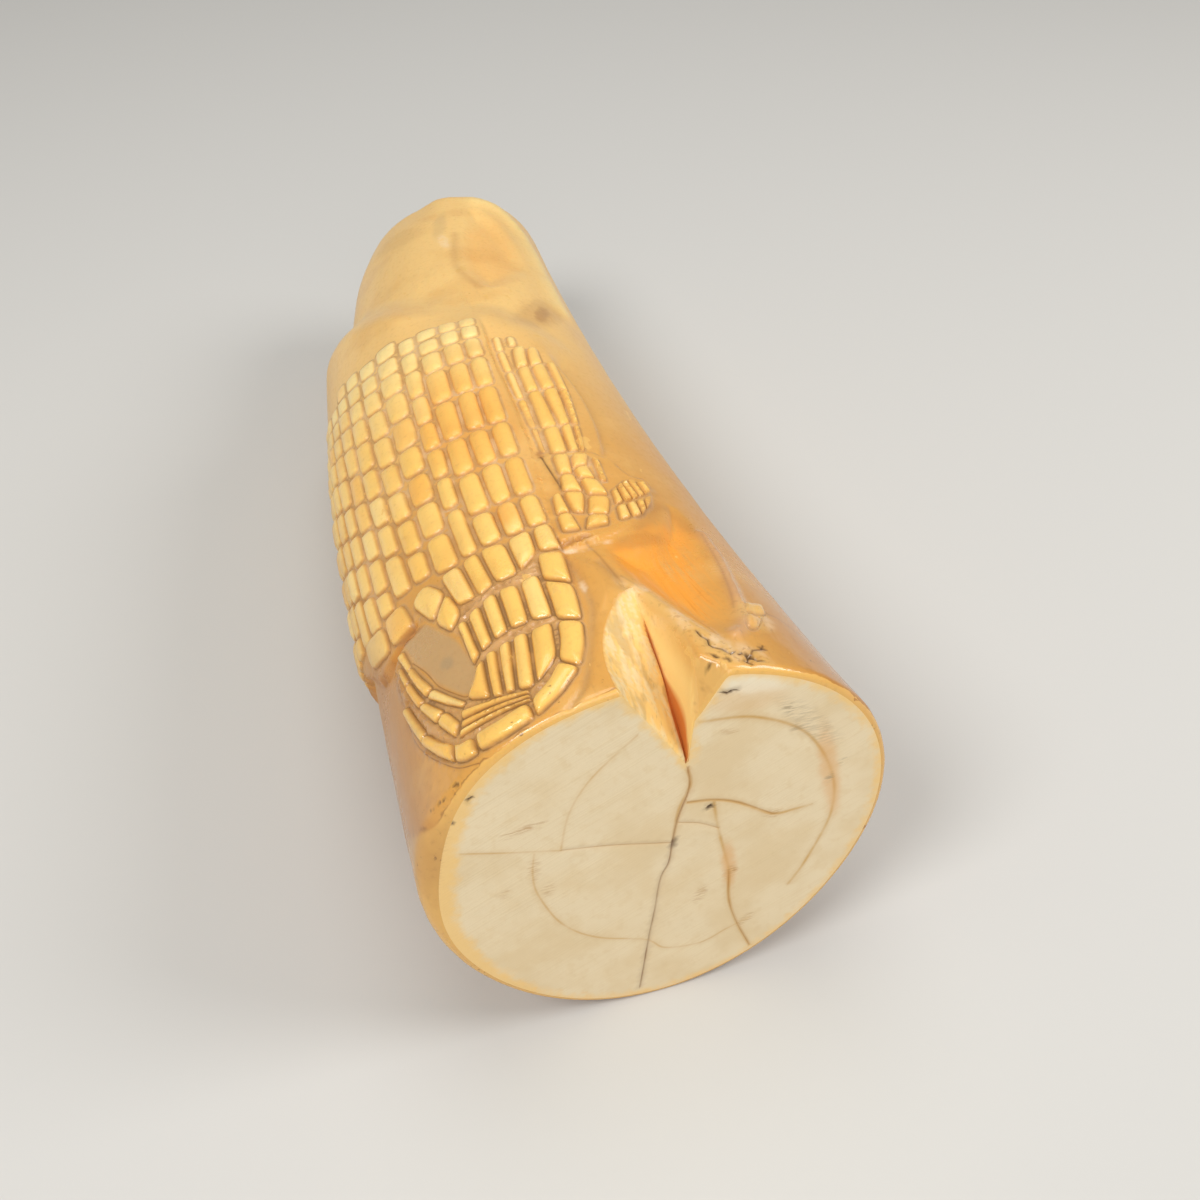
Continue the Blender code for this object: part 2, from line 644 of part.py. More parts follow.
def build_chip_cutter():
    """Build the slanted prism that breaks the rim beside the notch."""
    mesh = bmesh.new()
    loops = []
    steps = 4
    for step in range(steps + 1):
        turn = math.radians(mix(*CHIP_ANGLES, step / steps))
        deep = CHIP_DEPTH * (0.45 + 0.55 * math.sin(math.pi * step / steps)) + 0.25 * (step % 2)
        rim = section_radius(math.degrees(turn), 0.0)
        corners = [(rim - deep, -0.4), (rim + 1.5, deep * 1.6), (rim + 2.5, -1.0), (rim - deep, -1.6)]
        loops.append([mesh.verts.new(section_place(reach * math.cos(turn), along, reach * math.sin(turn)))
                      for reach, along in corners])
    for near, far in zip(loops, loops[1:]):
        for index in range(len(near)):
            after = (index + 1) % len(near)
            mesh.faces.new((near[index], near[after], far[after], far[index]))
    mesh.faces.new(loops[0])
    mesh.faces.new(loops[-1])
    bmesh.ops.recalc_face_normals(mesh, faces=mesh.faces)
    return mesh


def add_object(mesh, name, collection):
    """Make a mesh object from a bmesh and link it to a collection."""
    data = bpy.data.meshes.new(name)
    mesh.to_mesh(data)
    mesh.free()
    made = bpy.data.objects.new(name, data)
    collection.objects.link(made)
    return made


def add_collection(name):
    """Add a collection under the scene."""
    collection = bpy.data.collections.new(name)
    bpy.context.scene.collection.children.link(collection)
    return collection


def ivory_material():
    """Return the aged ivory material."""
    material = bpy.data.materials.new("aged_ivory")
    material.use_nodes = True
    shader = material.node_tree.nodes["Principled BSDF"]
    shader.inputs["Base Color"].default_value = COLOUR_IVORY
    shader.inputs["Roughness"].default_value = 0.38
    shader.inputs["Metallic"].default_value = 0.0
    return material


def cut(target, cutter):
    """Cut one object with another, which is kept as a hidden wire guide."""
    cutter.hide_render = True
    cutter.display_type = "WIRE"
    difference = target.modifiers.new("cut_" + cutter.name, "BOOLEAN")
    difference.operation = "DIFFERENCE"
    difference.solver = "EXACT"
    difference.object = cutter


def main():
    """Build the tusk, cut its broken places and move it over the origin."""
    for existing in list(bpy.data.objects):
        bpy.data.objects.remove(existing, do_unlink=True)
    parts = add_collection("carved_ivory_tusk")
    cutters = add_collection("cutters")
    tusk = add_object(build_tusk_mesh(), "carved_tusk", parts)
    places = [vertex.co for vertex in tusk.data.vertices]
    low = [min(place[axis] for place in places) for axis in range(3)]
    high = [max(place[axis] for place in places) for axis in range(3)]
    to_origin = Matrix.Translation((-(low[0] + high[0]) / 2.0, -(low[1] + high[1]) / 2.0, -low[2]))
    notch = add_object(build_notch_cutter(), "notch_cutter", cutters)
    chip = add_object(build_chip_cutter(), "chip_cutter", cutters)
    for made in (tusk, notch, chip):
        made.data.transform(to_origin)
    tusk.data.materials.append(ivory_material())
    tusk.data.shade_smooth()
    tusk.data.set_sharp_from_angle(angle=math.radians(35.0))
    cut(tusk, notch)
    cut(tusk, chip)


main()
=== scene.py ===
"""Looks for the carved ivory tusk: its fine relief, sawn ends, broken notch and finishes.

The tusk's skin is laid out flat as a chart, with the way round the tusk across it and the
distance from the sawn end along it, both in millimetres. Scales, outlines and cracks are drawn
on the chart as guides. A geometry tree measures every chart point against the guides, raises
the relief, wraps the chart round the bowed, tapered body and keeps masks for the finishes.
The sawn ends are laid out flat in the same way, wrapped by a second tree and welded on.
"""

from abc import ABC, abstractmethod
import json
import logging
import math
import random
from dataclasses import dataclass, field, fields
from enum import Enum
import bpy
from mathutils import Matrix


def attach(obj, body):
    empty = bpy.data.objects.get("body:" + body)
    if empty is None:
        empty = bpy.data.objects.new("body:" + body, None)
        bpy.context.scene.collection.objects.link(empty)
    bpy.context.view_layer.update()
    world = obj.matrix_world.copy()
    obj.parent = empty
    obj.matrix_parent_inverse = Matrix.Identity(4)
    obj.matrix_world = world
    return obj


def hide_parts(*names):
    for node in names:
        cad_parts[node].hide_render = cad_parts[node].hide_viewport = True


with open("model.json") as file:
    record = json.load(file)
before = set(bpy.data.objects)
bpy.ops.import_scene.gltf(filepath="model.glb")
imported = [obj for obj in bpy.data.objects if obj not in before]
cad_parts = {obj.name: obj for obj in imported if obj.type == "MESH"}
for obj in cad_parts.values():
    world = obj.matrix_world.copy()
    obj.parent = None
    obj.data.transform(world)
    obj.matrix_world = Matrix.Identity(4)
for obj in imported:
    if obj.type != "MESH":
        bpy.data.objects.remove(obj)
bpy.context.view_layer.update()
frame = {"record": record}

from types import SimpleNamespace
from typing import Callable, Iterable, Sequence

import bmesh
import bpy
import numpy as np
from mathutils import Vector
from mathutils.geometry import delaunay_2d_cdt
from mathutils.kdtree import KDTree

LOG = logging.getLogger("carved_tusk")
Spot = tuple[float, float]
Outline = list[Spot]
Colour = tuple[float, float, float]
Number = "Value | float"
Guides = dict[str, bpy.types.NodeSocket]

MM = 0.001
CHART_RADIUS = 24.0
SEAM = -90.0
NODE = "carved_tusk"
SLOT = "aged_ivory"


def srgb(red: int, green: int, blue: int) -> Colour:
    """Return a linear colour from eight-bit display values."""
    def linear(value: int) -> float:
        share = value / 255.0
        return share / 12.92 if share <= 0.04045 else ((share + 0.055) / 1.055) ** 2.4
    return (linear(red), linear(green), linear(blue))


def smooth(value: float) -> float:
    """Return the smooth step of a value, held between 0 and 1."""
    held = min(1.0, max(0.0, value))
    return held * held * (3.0 - 2.0 * held)


def mix(start: float, end: float, share: float) -> float:
    """Return the value a share of the way from start to end."""
    return start + (end - start) * share


# ---- node trees

def arithmetic(operation: str, swapped: bool = False) -> Callable[["Value", Number], "Value"]:
    """Return the method of Value that does one sum.

    Args:
        operation: the maths node's operation.
        swapped: True when the other number comes first.

    Returns:
        The method.
    """
    def method(value: "Value", other: Number) -> "Value":
        """Return the result of the sum."""
        return value.tree.maths(operation, *((other, value) if swapped else (value, other)))
    return method


class Value:
    """A number or vector inside a node tree, which takes ordinary arithmetic."""

    def __init__(self, tree: "Tree", socket: bpy.types.NodeSocket) -> None:
        """Keep the socket that carries the value."""
        self.tree = tree
        self.socket = socket

    __add__, __radd__ = arithmetic("ADD"), arithmetic("ADD", swapped=True)
    __sub__, __rsub__ = arithmetic("SUBTRACT"), arithmetic("SUBTRACT", swapped=True)
    __mul__, __rmul__ = arithmetic("MULTIPLY"), arithmetic("MULTIPLY", swapped=True)
    __truediv__ = arithmetic("DIVIDE")


def maths_call(operation: str) -> Callable[..., Value]:
    """Return the method of Tree for one operation of the maths node."""
    def method(tree: "Tree", *inputs: Number) -> Value:
        """Return the result of the operation."""
        return tree.maths(operation, *inputs)
    return method


class Tree:
    """Writes a geometry or shader node tree by ordinary calls."""

    sin, cos, exp = maths_call("SINE"), maths_call("COSINE"), maths_call("EXPONENT")
    high, low = maths_call("MAXIMUM"), maths_call("MINIMUM")

    def __init__(self, group: bpy.types.NodeTree) -> None:
        """Write into this node tree."""
        self.group = group

    def node(self, kind: str, *inputs: object, named: dict[str, object] | None = None,
             **settings: object) -> bpy.types.Node:
        """Add a node.

        Args:
            kind: the node's type name.
            inputs: values for its inputs in order; None leaves an input alone.
            named: values for its inputs by name.
            settings: the node's own settings by name.

        Returns:
            The node.
        """
        made = self.group.nodes.new(kind)
        for name, setting in settings.items():
            setattr(made, name, setting)
        for socket, value in zip(made.inputs, inputs):
            if value is not None:
                self.feed(socket, value)
        for name, value in (named or {}).items():
            self.feed(made.inputs[name], value)
        return made

    def feed(self, socket: bpy.types.NodeSocket, value: object) -> None:
        """Give an input a plain value, or link a socket to it."""
        if isinstance(value, Value):
            value = value.socket
        if isinstance(value, bpy.types.NodeSocket):
            self.group.links.new(value, socket)
        else:
            socket.default_value = value

    def take(self, node: bpy.types.Node, output: int = 0) -> Value:
        """Return one of a node's outputs as a value."""
        return Value(self, node.outputs[output])

    def maths(self, operation: str, *inputs: Number) -> Value:
        """Return the result of a maths node."""
        return self.take(self.node("ShaderNodeMath", *inputs, operation=operation))

    def vector_maths(self, operation: str, *inputs: object) -> Value:
        """Return the result of a vector maths node."""
        return self.take(self.node("ShaderNodeVectorMath", *inputs, operation=operation))

    def scaled(self, vector: Value, factor: Number) -> Value:
        """Return a vector times a number."""
        return self.take(self.node("ShaderNodeVectorMath", vector, named={"Scale": factor},
                                   operation="SCALE"))

    def power(self, base: Value, power: float) -> Value:
        """Return a number to a power."""
        return self.maths("POWER", self.high(base, 0.0), power)

    def step(self, value: Number, low: Number, high: Number) -> Value:
        """Return a smooth rise from 0 at low to 1 at high."""
        return self.take(self.node("ShaderNodeMapRange", value, low, high, 0.0, 1.0,
                                   interpolation_type="SMOOTHSTEP"))

    def fall(self, value: Number, low: Number, high: Number) -> Value:
        """Return a smooth fall from 1 at low to 0 at high."""
        return 1.0 - self.step(value, low, high)

    def band(self, value: Value, low: float, high: float, soft: float) -> Value:
        """Return 1 between two values, falling smoothly to 0 outside them."""
        return self.step(value, low - soft, low) * self.fall(value, high, high + soft)

    def blend(self, first: Number, second: Number, share: Value) -> Value:
        """Return the value a share of the way from first to second."""
        return first + (second - first) * share

    def join(self, x: Number, y: Number, z: Number) -> Value:
        """Return a vector of three values."""
        return self.take(self.node("ShaderNodeCombineXYZ", x, y, z))

    def split(self, vector: Value) -> tuple[Value, Value, Value]:
        """Return the three values of a vector."""
        node = self.node("ShaderNodeSeparateXYZ", vector)
        return self.take(node, 0), self.take(node, 1), self.take(node, 2)

    def noise(self, place: Value, scale: float, detail: float = 2.0, roughness: float = 0.5) -> Value:
        """Return smooth noise between 0 and 1, about 0.5 on average."""
        named = {"Vector": place, "Scale": scale, "Detail": detail, "Roughness": roughness}
        return self.take(self.node("ShaderNodeTexNoise", named=named, noise_dimensions="3D"))

    def stretched(self, place: Value, x: float, y: float, z: float, shift: float = 0.0) -> Value:
        """Return a place scaled on each axis, then shifted to another part of a pattern."""
        return self.vector_maths("MULTIPLY_ADD", place, (x, y, z), (shift, shift, shift))

    def shifted(self, place: Value, shift: float) -> Value:
        """Return a place in another part of a pattern."""
        return self.stretched(place, 1.0, 1.0, 1.0, shift)

    def held(self, value: Value, limit: Number = 1.0) -> Value:
        """Return a value held between 0 and a limit."""
        return self.low(self.high(value, 0.0), limit)

    def bump(self, value: Value, middle: Number, width: Number) -> Value:
        """Return a soft bump of height 1 about a middle value."""
        return self.exp(self.maths("POWER", (value - middle) / width, 2.0) * -1.0)


class GeometryTree(Tree):
    """A geometry tree that runs once on an object and leaves a plain mesh."""

    def __init__(self, name: str) -> None:
        """Start an empty tree with a geometry input and output."""
        super().__init__(bpy.data.node_groups.new(name, "GeometryNodeTree"))
        self.values: dict[str, object] = {}
        self.socket("Geometry", "NodeSocketGeometry", "INPUT")
        self.socket("Geometry", "NodeSocketGeometry", "OUTPUT")
        self.entry = self.group.nodes.new("NodeGroupInput")
        self.geometry = self.entry.outputs[0]

    def socket(self, name: str, kind: str, way: str) -> bpy.types.NodeTreeInterfaceSocket:
        """Add a socket to the tree's own inputs or outputs."""
        return self.group.interface.new_socket(name=name, in_out=way, socket_type=kind)

    def given(self, name: str, value: object) -> bpy.types.NodeSocket:
        """Add a named input, and remember the value that the modifier gives it."""
        kind = {float: "Float", tuple: "Vector"}.get(type(value), "Object")
        self.values[self.socket(name, "NodeSocket" + kind, "INPUT").identifier] = value
        return next(output for output in self.entry.outputs if output.name == name)

    def size(self, name: str, value: float | Vector) -> Value:
        """Return a named number or vector of the tree."""
        return Value(self, self.given(name, value if isinstance(value, float) else tuple(value)))

    def sizes(self, source: object) -> SimpleNamespace:
        """Return every number that a dataclass holds as a named size of the tree."""
        found = {}
        for item in fields(source):
            number = getattr(source, item.name)
            if isinstance(number, float):
                found[item.name] = self.size(item.name.replace("_", " ").capitalize(), number)
        return SimpleNamespace(**found)

    def guide(self, guide: bpy.types.Object) -> bpy.types.NodeSocket:
        """Return the geometry of a guide object, given to the tree as a named input."""
        link = self.given(guide.name.replace("_", " ").capitalize(), guide)
        return self.node("GeometryNodeObjectInfo", link).outputs["Geometry"]

    def distance(self, guide: bpy.types.NodeSocket, place: Value, target: str = "EDGES") -> Value:
        """Return the distance from a place to the nearest edge or face of a guide."""
        node = self.node("GeometryNodeProximity", guide, named={"Sample Position": place},
                         target_element=target)
        return Value(self, node.outputs["Distance"])

    def depth(self, guide: bpy.types.NodeSocket, place: Value) -> Value:
        """Return the distance inside a guide's edge, negative outside it."""
        edge = self.distance(guide, place)
        inside = self.maths("LESS_THAN", self.distance(guide, place, "FACES"), edge * 0.5 + 0.001)
        return edge * (inside * 2.0 - 1.0)

    def sampled(self, guide: bpy.types.NodeSocket, name: str, place: Value) -> Value:
        """Return a number stored on the guide's face nearest to a place."""
        stored = self.node("GeometryNodeInputNamedAttribute", name, data_type="FLOAT")
        named = {"Mesh": guide, "Value": stored.outputs[0], "Sample Position": place}
        return self.take(self.node("GeometryNodeSampleNearestSurface", named=named, data_type="FLOAT"))

    def change(self, kind: str, named: dict[str, object], **settings: object) -> None:
        """Pass the geometry through one more node."""
        self.geometry = self.node(kind, self.geometry, named=named, **settings).outputs[0]

    def store(self, name: str, value: Value) -> None:
        """Store a number on every point under a name."""
        self.change("GeometryNodeStoreNamedAttribute", {"Name": name, "Value": value},
                    data_type="FLOAT", domain="POINT")

    def move(self, place: Value) -> None:
        """Move every point to its place."""
        self.change("GeometryNodeSetPosition", {"Position": place})

    def finish(self, material: bpy.types.Material) -> None:
        """End the tree with Realize Instances and Set Material."""
        self.change("GeometryNodeRealizeInstances", {})
        self.change("GeometryNodeSetMaterial", {"Material": material})
        self.node("NodeGroupOutput", self.geometry)

    def run(self, mesh: bpy.types.Mesh, name: str) -> bpy.types.Mesh:
        """Run the tree on a mesh.

        Args:
            mesh: the flat mesh that the tree starts from.
            name: name of the plain mesh that it leaves.

        Returns:
            The result as a plain mesh.
        """
        carrier = bpy.data.objects.new(name + "_carrier", mesh)
        bpy.context.scene.collection.objects.link(carrier)
        modifier = carrier.modifiers.new(name, "NODES")
        modifier.node_group = self.group
        for identifier, value in self.values.items():
            modifier[identifier] = value
        evaluated = carrier.evaluated_get(bpy.context.evaluated_depsgraph_get())
        result = bpy.data.meshes.new_from_object(evaluated)
        result.name = name
        carrier.modifiers.remove(modifier)
        bpy.data.objects.remove(carrier, do_unlink=True)
        return result


class Plain:
    """The same calls as a node tree has, for plain numbers."""

    sin, cos, exp = staticmethod(math.sin), staticmethod(math.cos), staticmethod(math.exp)
    high, low = staticmethod(max), staticmethod(min)

    def power(self, base: float, power: float) -> float:
        """Return a number to a power."""
        return max(0.0, base) ** power

    def step(self, value: float, low: float, high: float) -> float:
        """Return a smooth rise from 0 at low to 1 at high."""
        return smooth((value - low) / (high - low))

    def fall(self, value: float, low: float, high: float) -> float:
        """Return a smooth fall from 1 at low to 0 at high."""
        return 1.0 - self.step(value, low, high)


# ---- body

@dataclass(frozen=True)
class TuskBody:
    """The plain body that relief is measured from: a bowed, tapered, softly lobed length of tusk.

    The formulas take their sums from `ops` and their sizes from `size`, so the same lines work
    out plain numbers and write nodes. Turns are radians, lengths are millimetres.
    """

    length: float = 141.6
    cut_radius: float = 26.6
    tip_radius: float = 16.85
    swell: float = 0.26
    bend: float = 4.1
    lobes: float = 0.029
    tip_oval: float = 0.036
    rest_flat: float = 0.35
    cut_turn: float = -0.073
    cut_fade: float = 15.0
    rim_round: float = 0.85
    rim_worn: float = 1.5
    worn_angle: float = 165.0
    worn_width: float = 24.0
    corner_worn: float = 1.0
    corner_angle: float = 81.0
    corner_width: float = 5.0
    rim_border: float = 0.7
    tip_round: float = 3.2
    tip_border: float = 1.8
    tip_bevel: float = 1.1
    tip_bevel_run: float = 15.0

    @staticmethod
    def reach(ops: object, size: object, turn: object, along: object) -> object:
        """Return the radius of the section in one direction."""
        share = along / size.length
        taper = share - size.swell * share * share * (1.0 - share)
        plain = size.cut_radius - (size.cut_radius - size.tip_radius) * taper
        lobed = ops.exp(share * -2.0)
        return plain * (1.0 + size.lobes * lobed * ops.sin(turn * 3.0)
                        + size.tip_oval * (1.0 - lobed) * ops.sin(turn * 2.0))

    @staticmethod
    def tip_wear(ops: object, size: object, angle: object, along: object) -> object:
        """Return how much the worn slope at the upper left of the tip takes off."""
        run = ops.step(along, size.length - size.tip_bevel_run, size.length)
        side = ops.step(angle, 90.0, 110.0) * ops.fall(angle, 150.0, 190.0)
        return size.tip_bevel * run * side

    @classmethod
    def axis(cls, ops: object, size: object, along: object) -> tuple[object, object, object]:
        """Return the axis point at a distance from the sawn end."""
        share = along / size.length
        return (size.bend * share * (1.0 - share) * -4.0, along,
                cls.reach(ops, size, math.radians(270.0), along) - size.rest_flat)

    @classmethod
    def placed(cls, tree: Tree, size: object, across: Value, along: Value, rise: Value,
               shift: Value) -> Value:
        """Place points of the cross sections in space.

        Args:
            tree: the tree to write into.
            size: the body's sizes.
            across: distance from the axis towards +X.
            along: distance from the sawn end.
            rise: distance above the axis.
            shift: where the start of the axis stands, in metres.

        Returns:
            The place in metres.
        """
        middle = tree.join(*cls.axis(tree, size, along))
        ahead = tree.join(*cls.axis(tree, size, along + 0.5))
        behind = tree.join(*cls.axis(tree, size, along - 0.5))
        tangent = tree.vector_maths("NORMALIZE", tree.vector_maths("SUBTRACT", ahead, behind))
        right = tree.vector_maths("NORMALIZE",
                                  tree.vector_maths("CROSS_PRODUCT", tangent, (0.0, 0.0, 1.0)))
        up = tree.vector_maths("CROSS_PRODUCT", right, tangent)
        skew = size.cut_turn * across * tree.exp(tree.high(along, 0.0) / size.cut_fade * -1.0)
        place = middle
        for way, amount in ((right, across), (up, rise), (tangent, skew)):
            place = tree.vector_maths("ADD", place, tree.scaled(way, amount))
        place = tree.vector_maths("MAXIMUM", place, (-999.0, -999.0, 0.0))
        start = tree.join(*cls.axis(tree, size, 0.0 * along))
        moved = tree.vector_maths("SUBTRACT", place, start)
        return tree.vector_maths("ADD", tree.scaled(moved, MM), shift)


@dataclass(frozen=True)
class Notch:
    """The broken notch in the crest: a rough slope on its left, a steep wall on its right."""

    floor_across: float = 2.8
    floor_rise: float = 12.5
    run: float = 16.0
    floor_curve: float = 0.68
    left: float = -4.7
    right: float = 4.2
    bulge: float = 1.0
    slit_width: float = 0.38
    slit_depth: float = 0.45
    slit_run: float = 12.5
    left_turn: float = 6.7
    beyond_slope: float = 1.5
    shoulder_rise: float = 18.6
    shoulder_across: float = 3.4
    shoulder_right: float = 1.6
    shoulder_left: float = 10.0
    shoulder_along: float = 1.7
    chips: float = 0.9
    chart_rows: int = 41
    halvings: int = 30

    @staticmethod
    def surface(ops: object, size: object, across: object, along: object,
                crest: object) -> tuple[object, object]:
        """Return the rise of the slope and of the wall at a place across a section.

        Args:
            ops: plain numbers or a tree.
            size: the notch's sizes.
            across: distance from the axis towards +X.
            along: distance from the sawn end.
            crest: rise of the skin at the crest.
        """
        share = ops.high(along, 0.0) / size.run
        floor = size.floor_rise + (crest - size.floor_rise) * ops.power(share, size.floor_curve)
        gain = ops.high(crest - floor, 0.0)
        left = size.left + size.left_turn * ops.power(share * 1.05, 2.5)
        right = (size.right + (size.floor_across - size.right) * share * share
                 + size.bulge * ops.sin(ops.low(share, 1.0) * math.pi))
        beyond = ops.high(left - across, 0.0) * size.beyond_slope + ops.high(along + 1.0 - size.run, 0.0)
        slope = floor + (size.floor_across - across) * gain / ops.high(size.floor_across - left, 0.6)
        wall = floor + (across - size.floor_across) * gain / ops.high(right - size.floor_across, 0.4)
        return slope + beyond, wall + beyond

    @staticmethod
    def slit(ops: object, size: object, along: object) -> object:
        """Return the half width of the split along the floor, widest a little way in."""
        open_part = ops.step(along, -0.6, 2.2) * ops.fall(along, 2.8, 7.0)
        tail = ops.fall(along, size.slit_run - 3.0, size.slit_run)
        return size.slit_width * (0.2 * tail + 0.8 * open_part) + 0.02

    def outline(self, body: TuskBody) -> list[list[Spot]]:
        """Return chart lines for the slope's and the wall's top edges, the floor and the split."""
        plain = Plain()
        shares = (-1.3, -0.8, 0.0, 0.8, 1.3)
        lines: list[list[Spot]] = [[] for _ in range(2 + len(shares))]
        for number in range(self.chart_rows):
            along = self.run * number / self.chart_rows
            crest = body.reach(plain, body, math.radians(90.0), along)
            for line, (outside, inside) in zip(lines, ((118.0, 84.0), (62.0, 84.0))):
                for _ in range(self.halvings):
                    middle = (outside + inside) / 2.0
                    turn = math.radians(middle)
                    reach = body.reach(plain, body, turn, along)
                    cut = max(self.surface(plain, self, reach * math.cos(turn), along, crest))
                    if cut < reach * math.sin(turn):
                        inside = middle
                    else:
                        outside = middle
                line.append((outside, along))
            for line, share in zip(lines[2:], shares):
                across = self.floor_across + share * self.slit(plain, self, along)
                line.append((math.degrees(math.acos(across / crest)), along))
        return lines


# ---- chart outlines

def flat(angle: float, along: float) -> Vector:
    """Return a chart point in chart millimetres."""
    return Vector((math.radians(angle) * CHART_RADIUS, along))


def unflat(point: Sequence[float]) -> Spot:
    """Return the angle and distance of a point in chart millimetres."""
    return (math.degrees(point[0] / CHART_RADIUS), point[1])


def corners_of(points: list[Vector]) -> Iterable[tuple[Vector, Vector, Vector]]:
    """Return each point of a closed outline between its two neighbours."""
    return zip(points[-1:] + points[:-1], points, points[1:] + points[:1])


def inset(points: list[Vector], distance: float) -> list[Vector]:
    """Return a closed outline moved inwards."""
    area = sum(a.x * b.y - b.x * a.y for a, b in zip(points, points[1:] + points[:1]))
    side = 1.0 if area > 0 else -1.0
    moved = []
    for before, point, after in corners_of(points):
        first = (point - before).normalized()
        second = (after - point).normalized()
        first_normal = Vector((-first.y, first.x)) * side
        second_normal = Vector((-second.y, second.x)) * side
        spread = max(0.35, 1.0 + first_normal.dot(second_normal))
        moved.append(point + (first_normal + second_normal) * (distance / spread))
    return moved


def rounded(points: list[Vector], radius: float, step: float) -> list[Vector]:
    """Return a closed outline with round corners and evenly divided sides."""
    corners = []
    for before, point, after in corners_of(points):
        first, last = (point.lerp(end, min(0.45, radius / (end - point).length))
                       for end in (before, after))
        corners += [first, first.lerp(point, 0.5).lerp(point.lerp(last, 0.5), 0.5), last]
    path = []
    for start, end in zip(corners, corners[1:] + corners[:1]):
        count = max(1, round((end - start).length / step))
        path += [start.lerp(end, number / count) for number in range(count)]
    return path


def curved(points: list[Vector], step: float, closed: bool = True) -> list[Vector]:
    """Return a smooth curve through points."""
    count = len(points)
    path = []
    for index in range(count if closed else count - 1):
        around = (index + shift for shift in (-1, 0, 1, 2))
        before, start, end, after = (points[place % count if closed else min(count - 1, max(0, place))]
                                     for place in around)
        pieces = max(1, round((end - start).length / step))
        for number in range(pieces):
            share = number / pieces
            square, cube = share * share, share * share * share
            path.append((before * (-share + 2.0 * square - cube)
                         + start * (2.0 - 5.0 * square + 3.0 * cube)
                         + end * (share + 4.0 * square - 3.0 * cube)
                         + after * (cube - square)) * 0.5)
    if not closed:
        path.append(points[-1].copy())
    return path


OUTLINES: dict[str, Outline] = {
    "limb": [(91.2, 42.6), (73, 42.8), (68.6, 48), (66.6, 56), (68, 64), (71.5, 70), (75, 74), (80, 77),
        (86, 79), (91, 80), (91.4, 60)],
    "foot": [(89.5, 42.4), (73.2, 42.4), (66, 37.5), (61.5, 36.6), (66.5, 30.6), (77, 26.4), (86, 25),
        (93.6, 25.4), (93.8, 30), (91.2, 38)],
    "scoop": [(86, 23.4), (85.2, 18.2), (82.6, 13.2), (77.6, 8.6), (73.6, 5.6), (70.4, 3.6), (66.8, 5.5),
        (62.7, 7.6), (59.7, 10.4), (57.6, 13.5), (55.1, 17.8), (53, 24), (52.4, 31), (57, 33.6),
        (65.4, 29.2), (76, 25.2)],
    "flute": [(80.2, 131.6), (86.9, 121.7), (89.5, 113.8), (90.5, 106.4), (87.9, 101.6), (83.5, 97.3),
        (77, 96), (66.9, 99), (57, 104), (53, 108.5), (53.7, 115.6), (57.9, 124.4), (64.3, 130.3),
        (72.2, 133.5)],
    "lobe": [(94.6, 22.9), (88, 21.2), (85.9, 18.3), (85.5, 15.6), (86.8, 14), (93.3, 11.9), (95, 12.4),
        (94.9, 15.6)],
    "oval": [(135.6, 24.8), (131.8, 21.8), (128.5, 18.6), (127.2, 16.2), (125.9, 12.9), (126.5, 11.3),
        (128.4, 10.2), (130.8, 10.1), (133.8, 11.9), (137.4, 14.9), (140, 18.4), (142.6, 21.4),
        (144.3, 24.6), (144.3, 25.5), (140, 24.7)],
}


@dataclass(frozen=True)
class CarvedAreas:
    """The round outlines of the carved areas on the chart, and the hide that they cut into."""

    pad_middle: float = 124.0
    pad_half_angle: float = 26.5
    pad_foot: float = 1.3
    pad_spring: float = 18.0
    pad_power: float = 2.6
    field_centre: Spot = (136.6, 17.9)
    field_half_length: float = 8.3
    field_half_width: float = 2.3
    field_tilt: float = 27.5

    def arch(self, turn: float) -> Spot:
        """Return a point of the pad's arch, from 0 on its right round its foot to 180."""
        drop = self.pad_spring - self.pad_foot
        cosine, sine = math.cos(math.radians(turn)), math.sin(math.radians(turn))
        power = 2.0 / self.pad_power
        return (self.pad_middle - self.pad_half_angle * math.copysign(abs(cosine) ** power, cosine),
                self.pad_spring - drop * abs(sine) ** power)

    def field_point(self, turn: float) -> Spot:
        """Return a point of the sunk oval; 0 is its end away from the cut."""
        tilt = math.radians(self.field_tilt)
        sine = math.sin(math.radians(turn))
        lengthways = self.field_half_length * math.cos(math.radians(turn))
        sideways = self.field_half_width * math.copysign(abs(sine) ** 0.75, sine)
        centre = flat(*self.field_centre)
        return unflat((centre.x + lengthways * math.sin(tilt) + sideways * math.cos(tilt),
                       centre.y + lengthways * math.cos(tilt) - sideways * math.sin(tilt)))

    def hide(self) -> Outline:
        """Return the outline of the raised carving, with the sunk oval as a bay in it."""
        right = [(91.5, 86.0), (90.3, 68.0), (90.3, 50.0), (92.5, 38.0), (95.0, 29.0), (96.6, 22.0)]
        arch = [self.arch(turn) for turn in range(0, 181, 12)]
        bay = [self.field_point(turn) for turn in range(-25, -361 + 25, -24)]
        near = [(137.5, 25.8), (146.0, 26.2), (157.0, 26.2), (165.0, 30.0), (178.0, 36.5), (196.0, 39.5)]
        flank = [(207.0, 45.0), (209.0, 70.0), (207.0, 98.0)]
        far = [(190.0, 106.0), (171.0, 103.5), (152.0, 98.6), (133.0, 92.9), (112.0, 86.6)]
        return right + arch + [(150.4, 23.6)] + bay + near + flank + far


# ---- scales

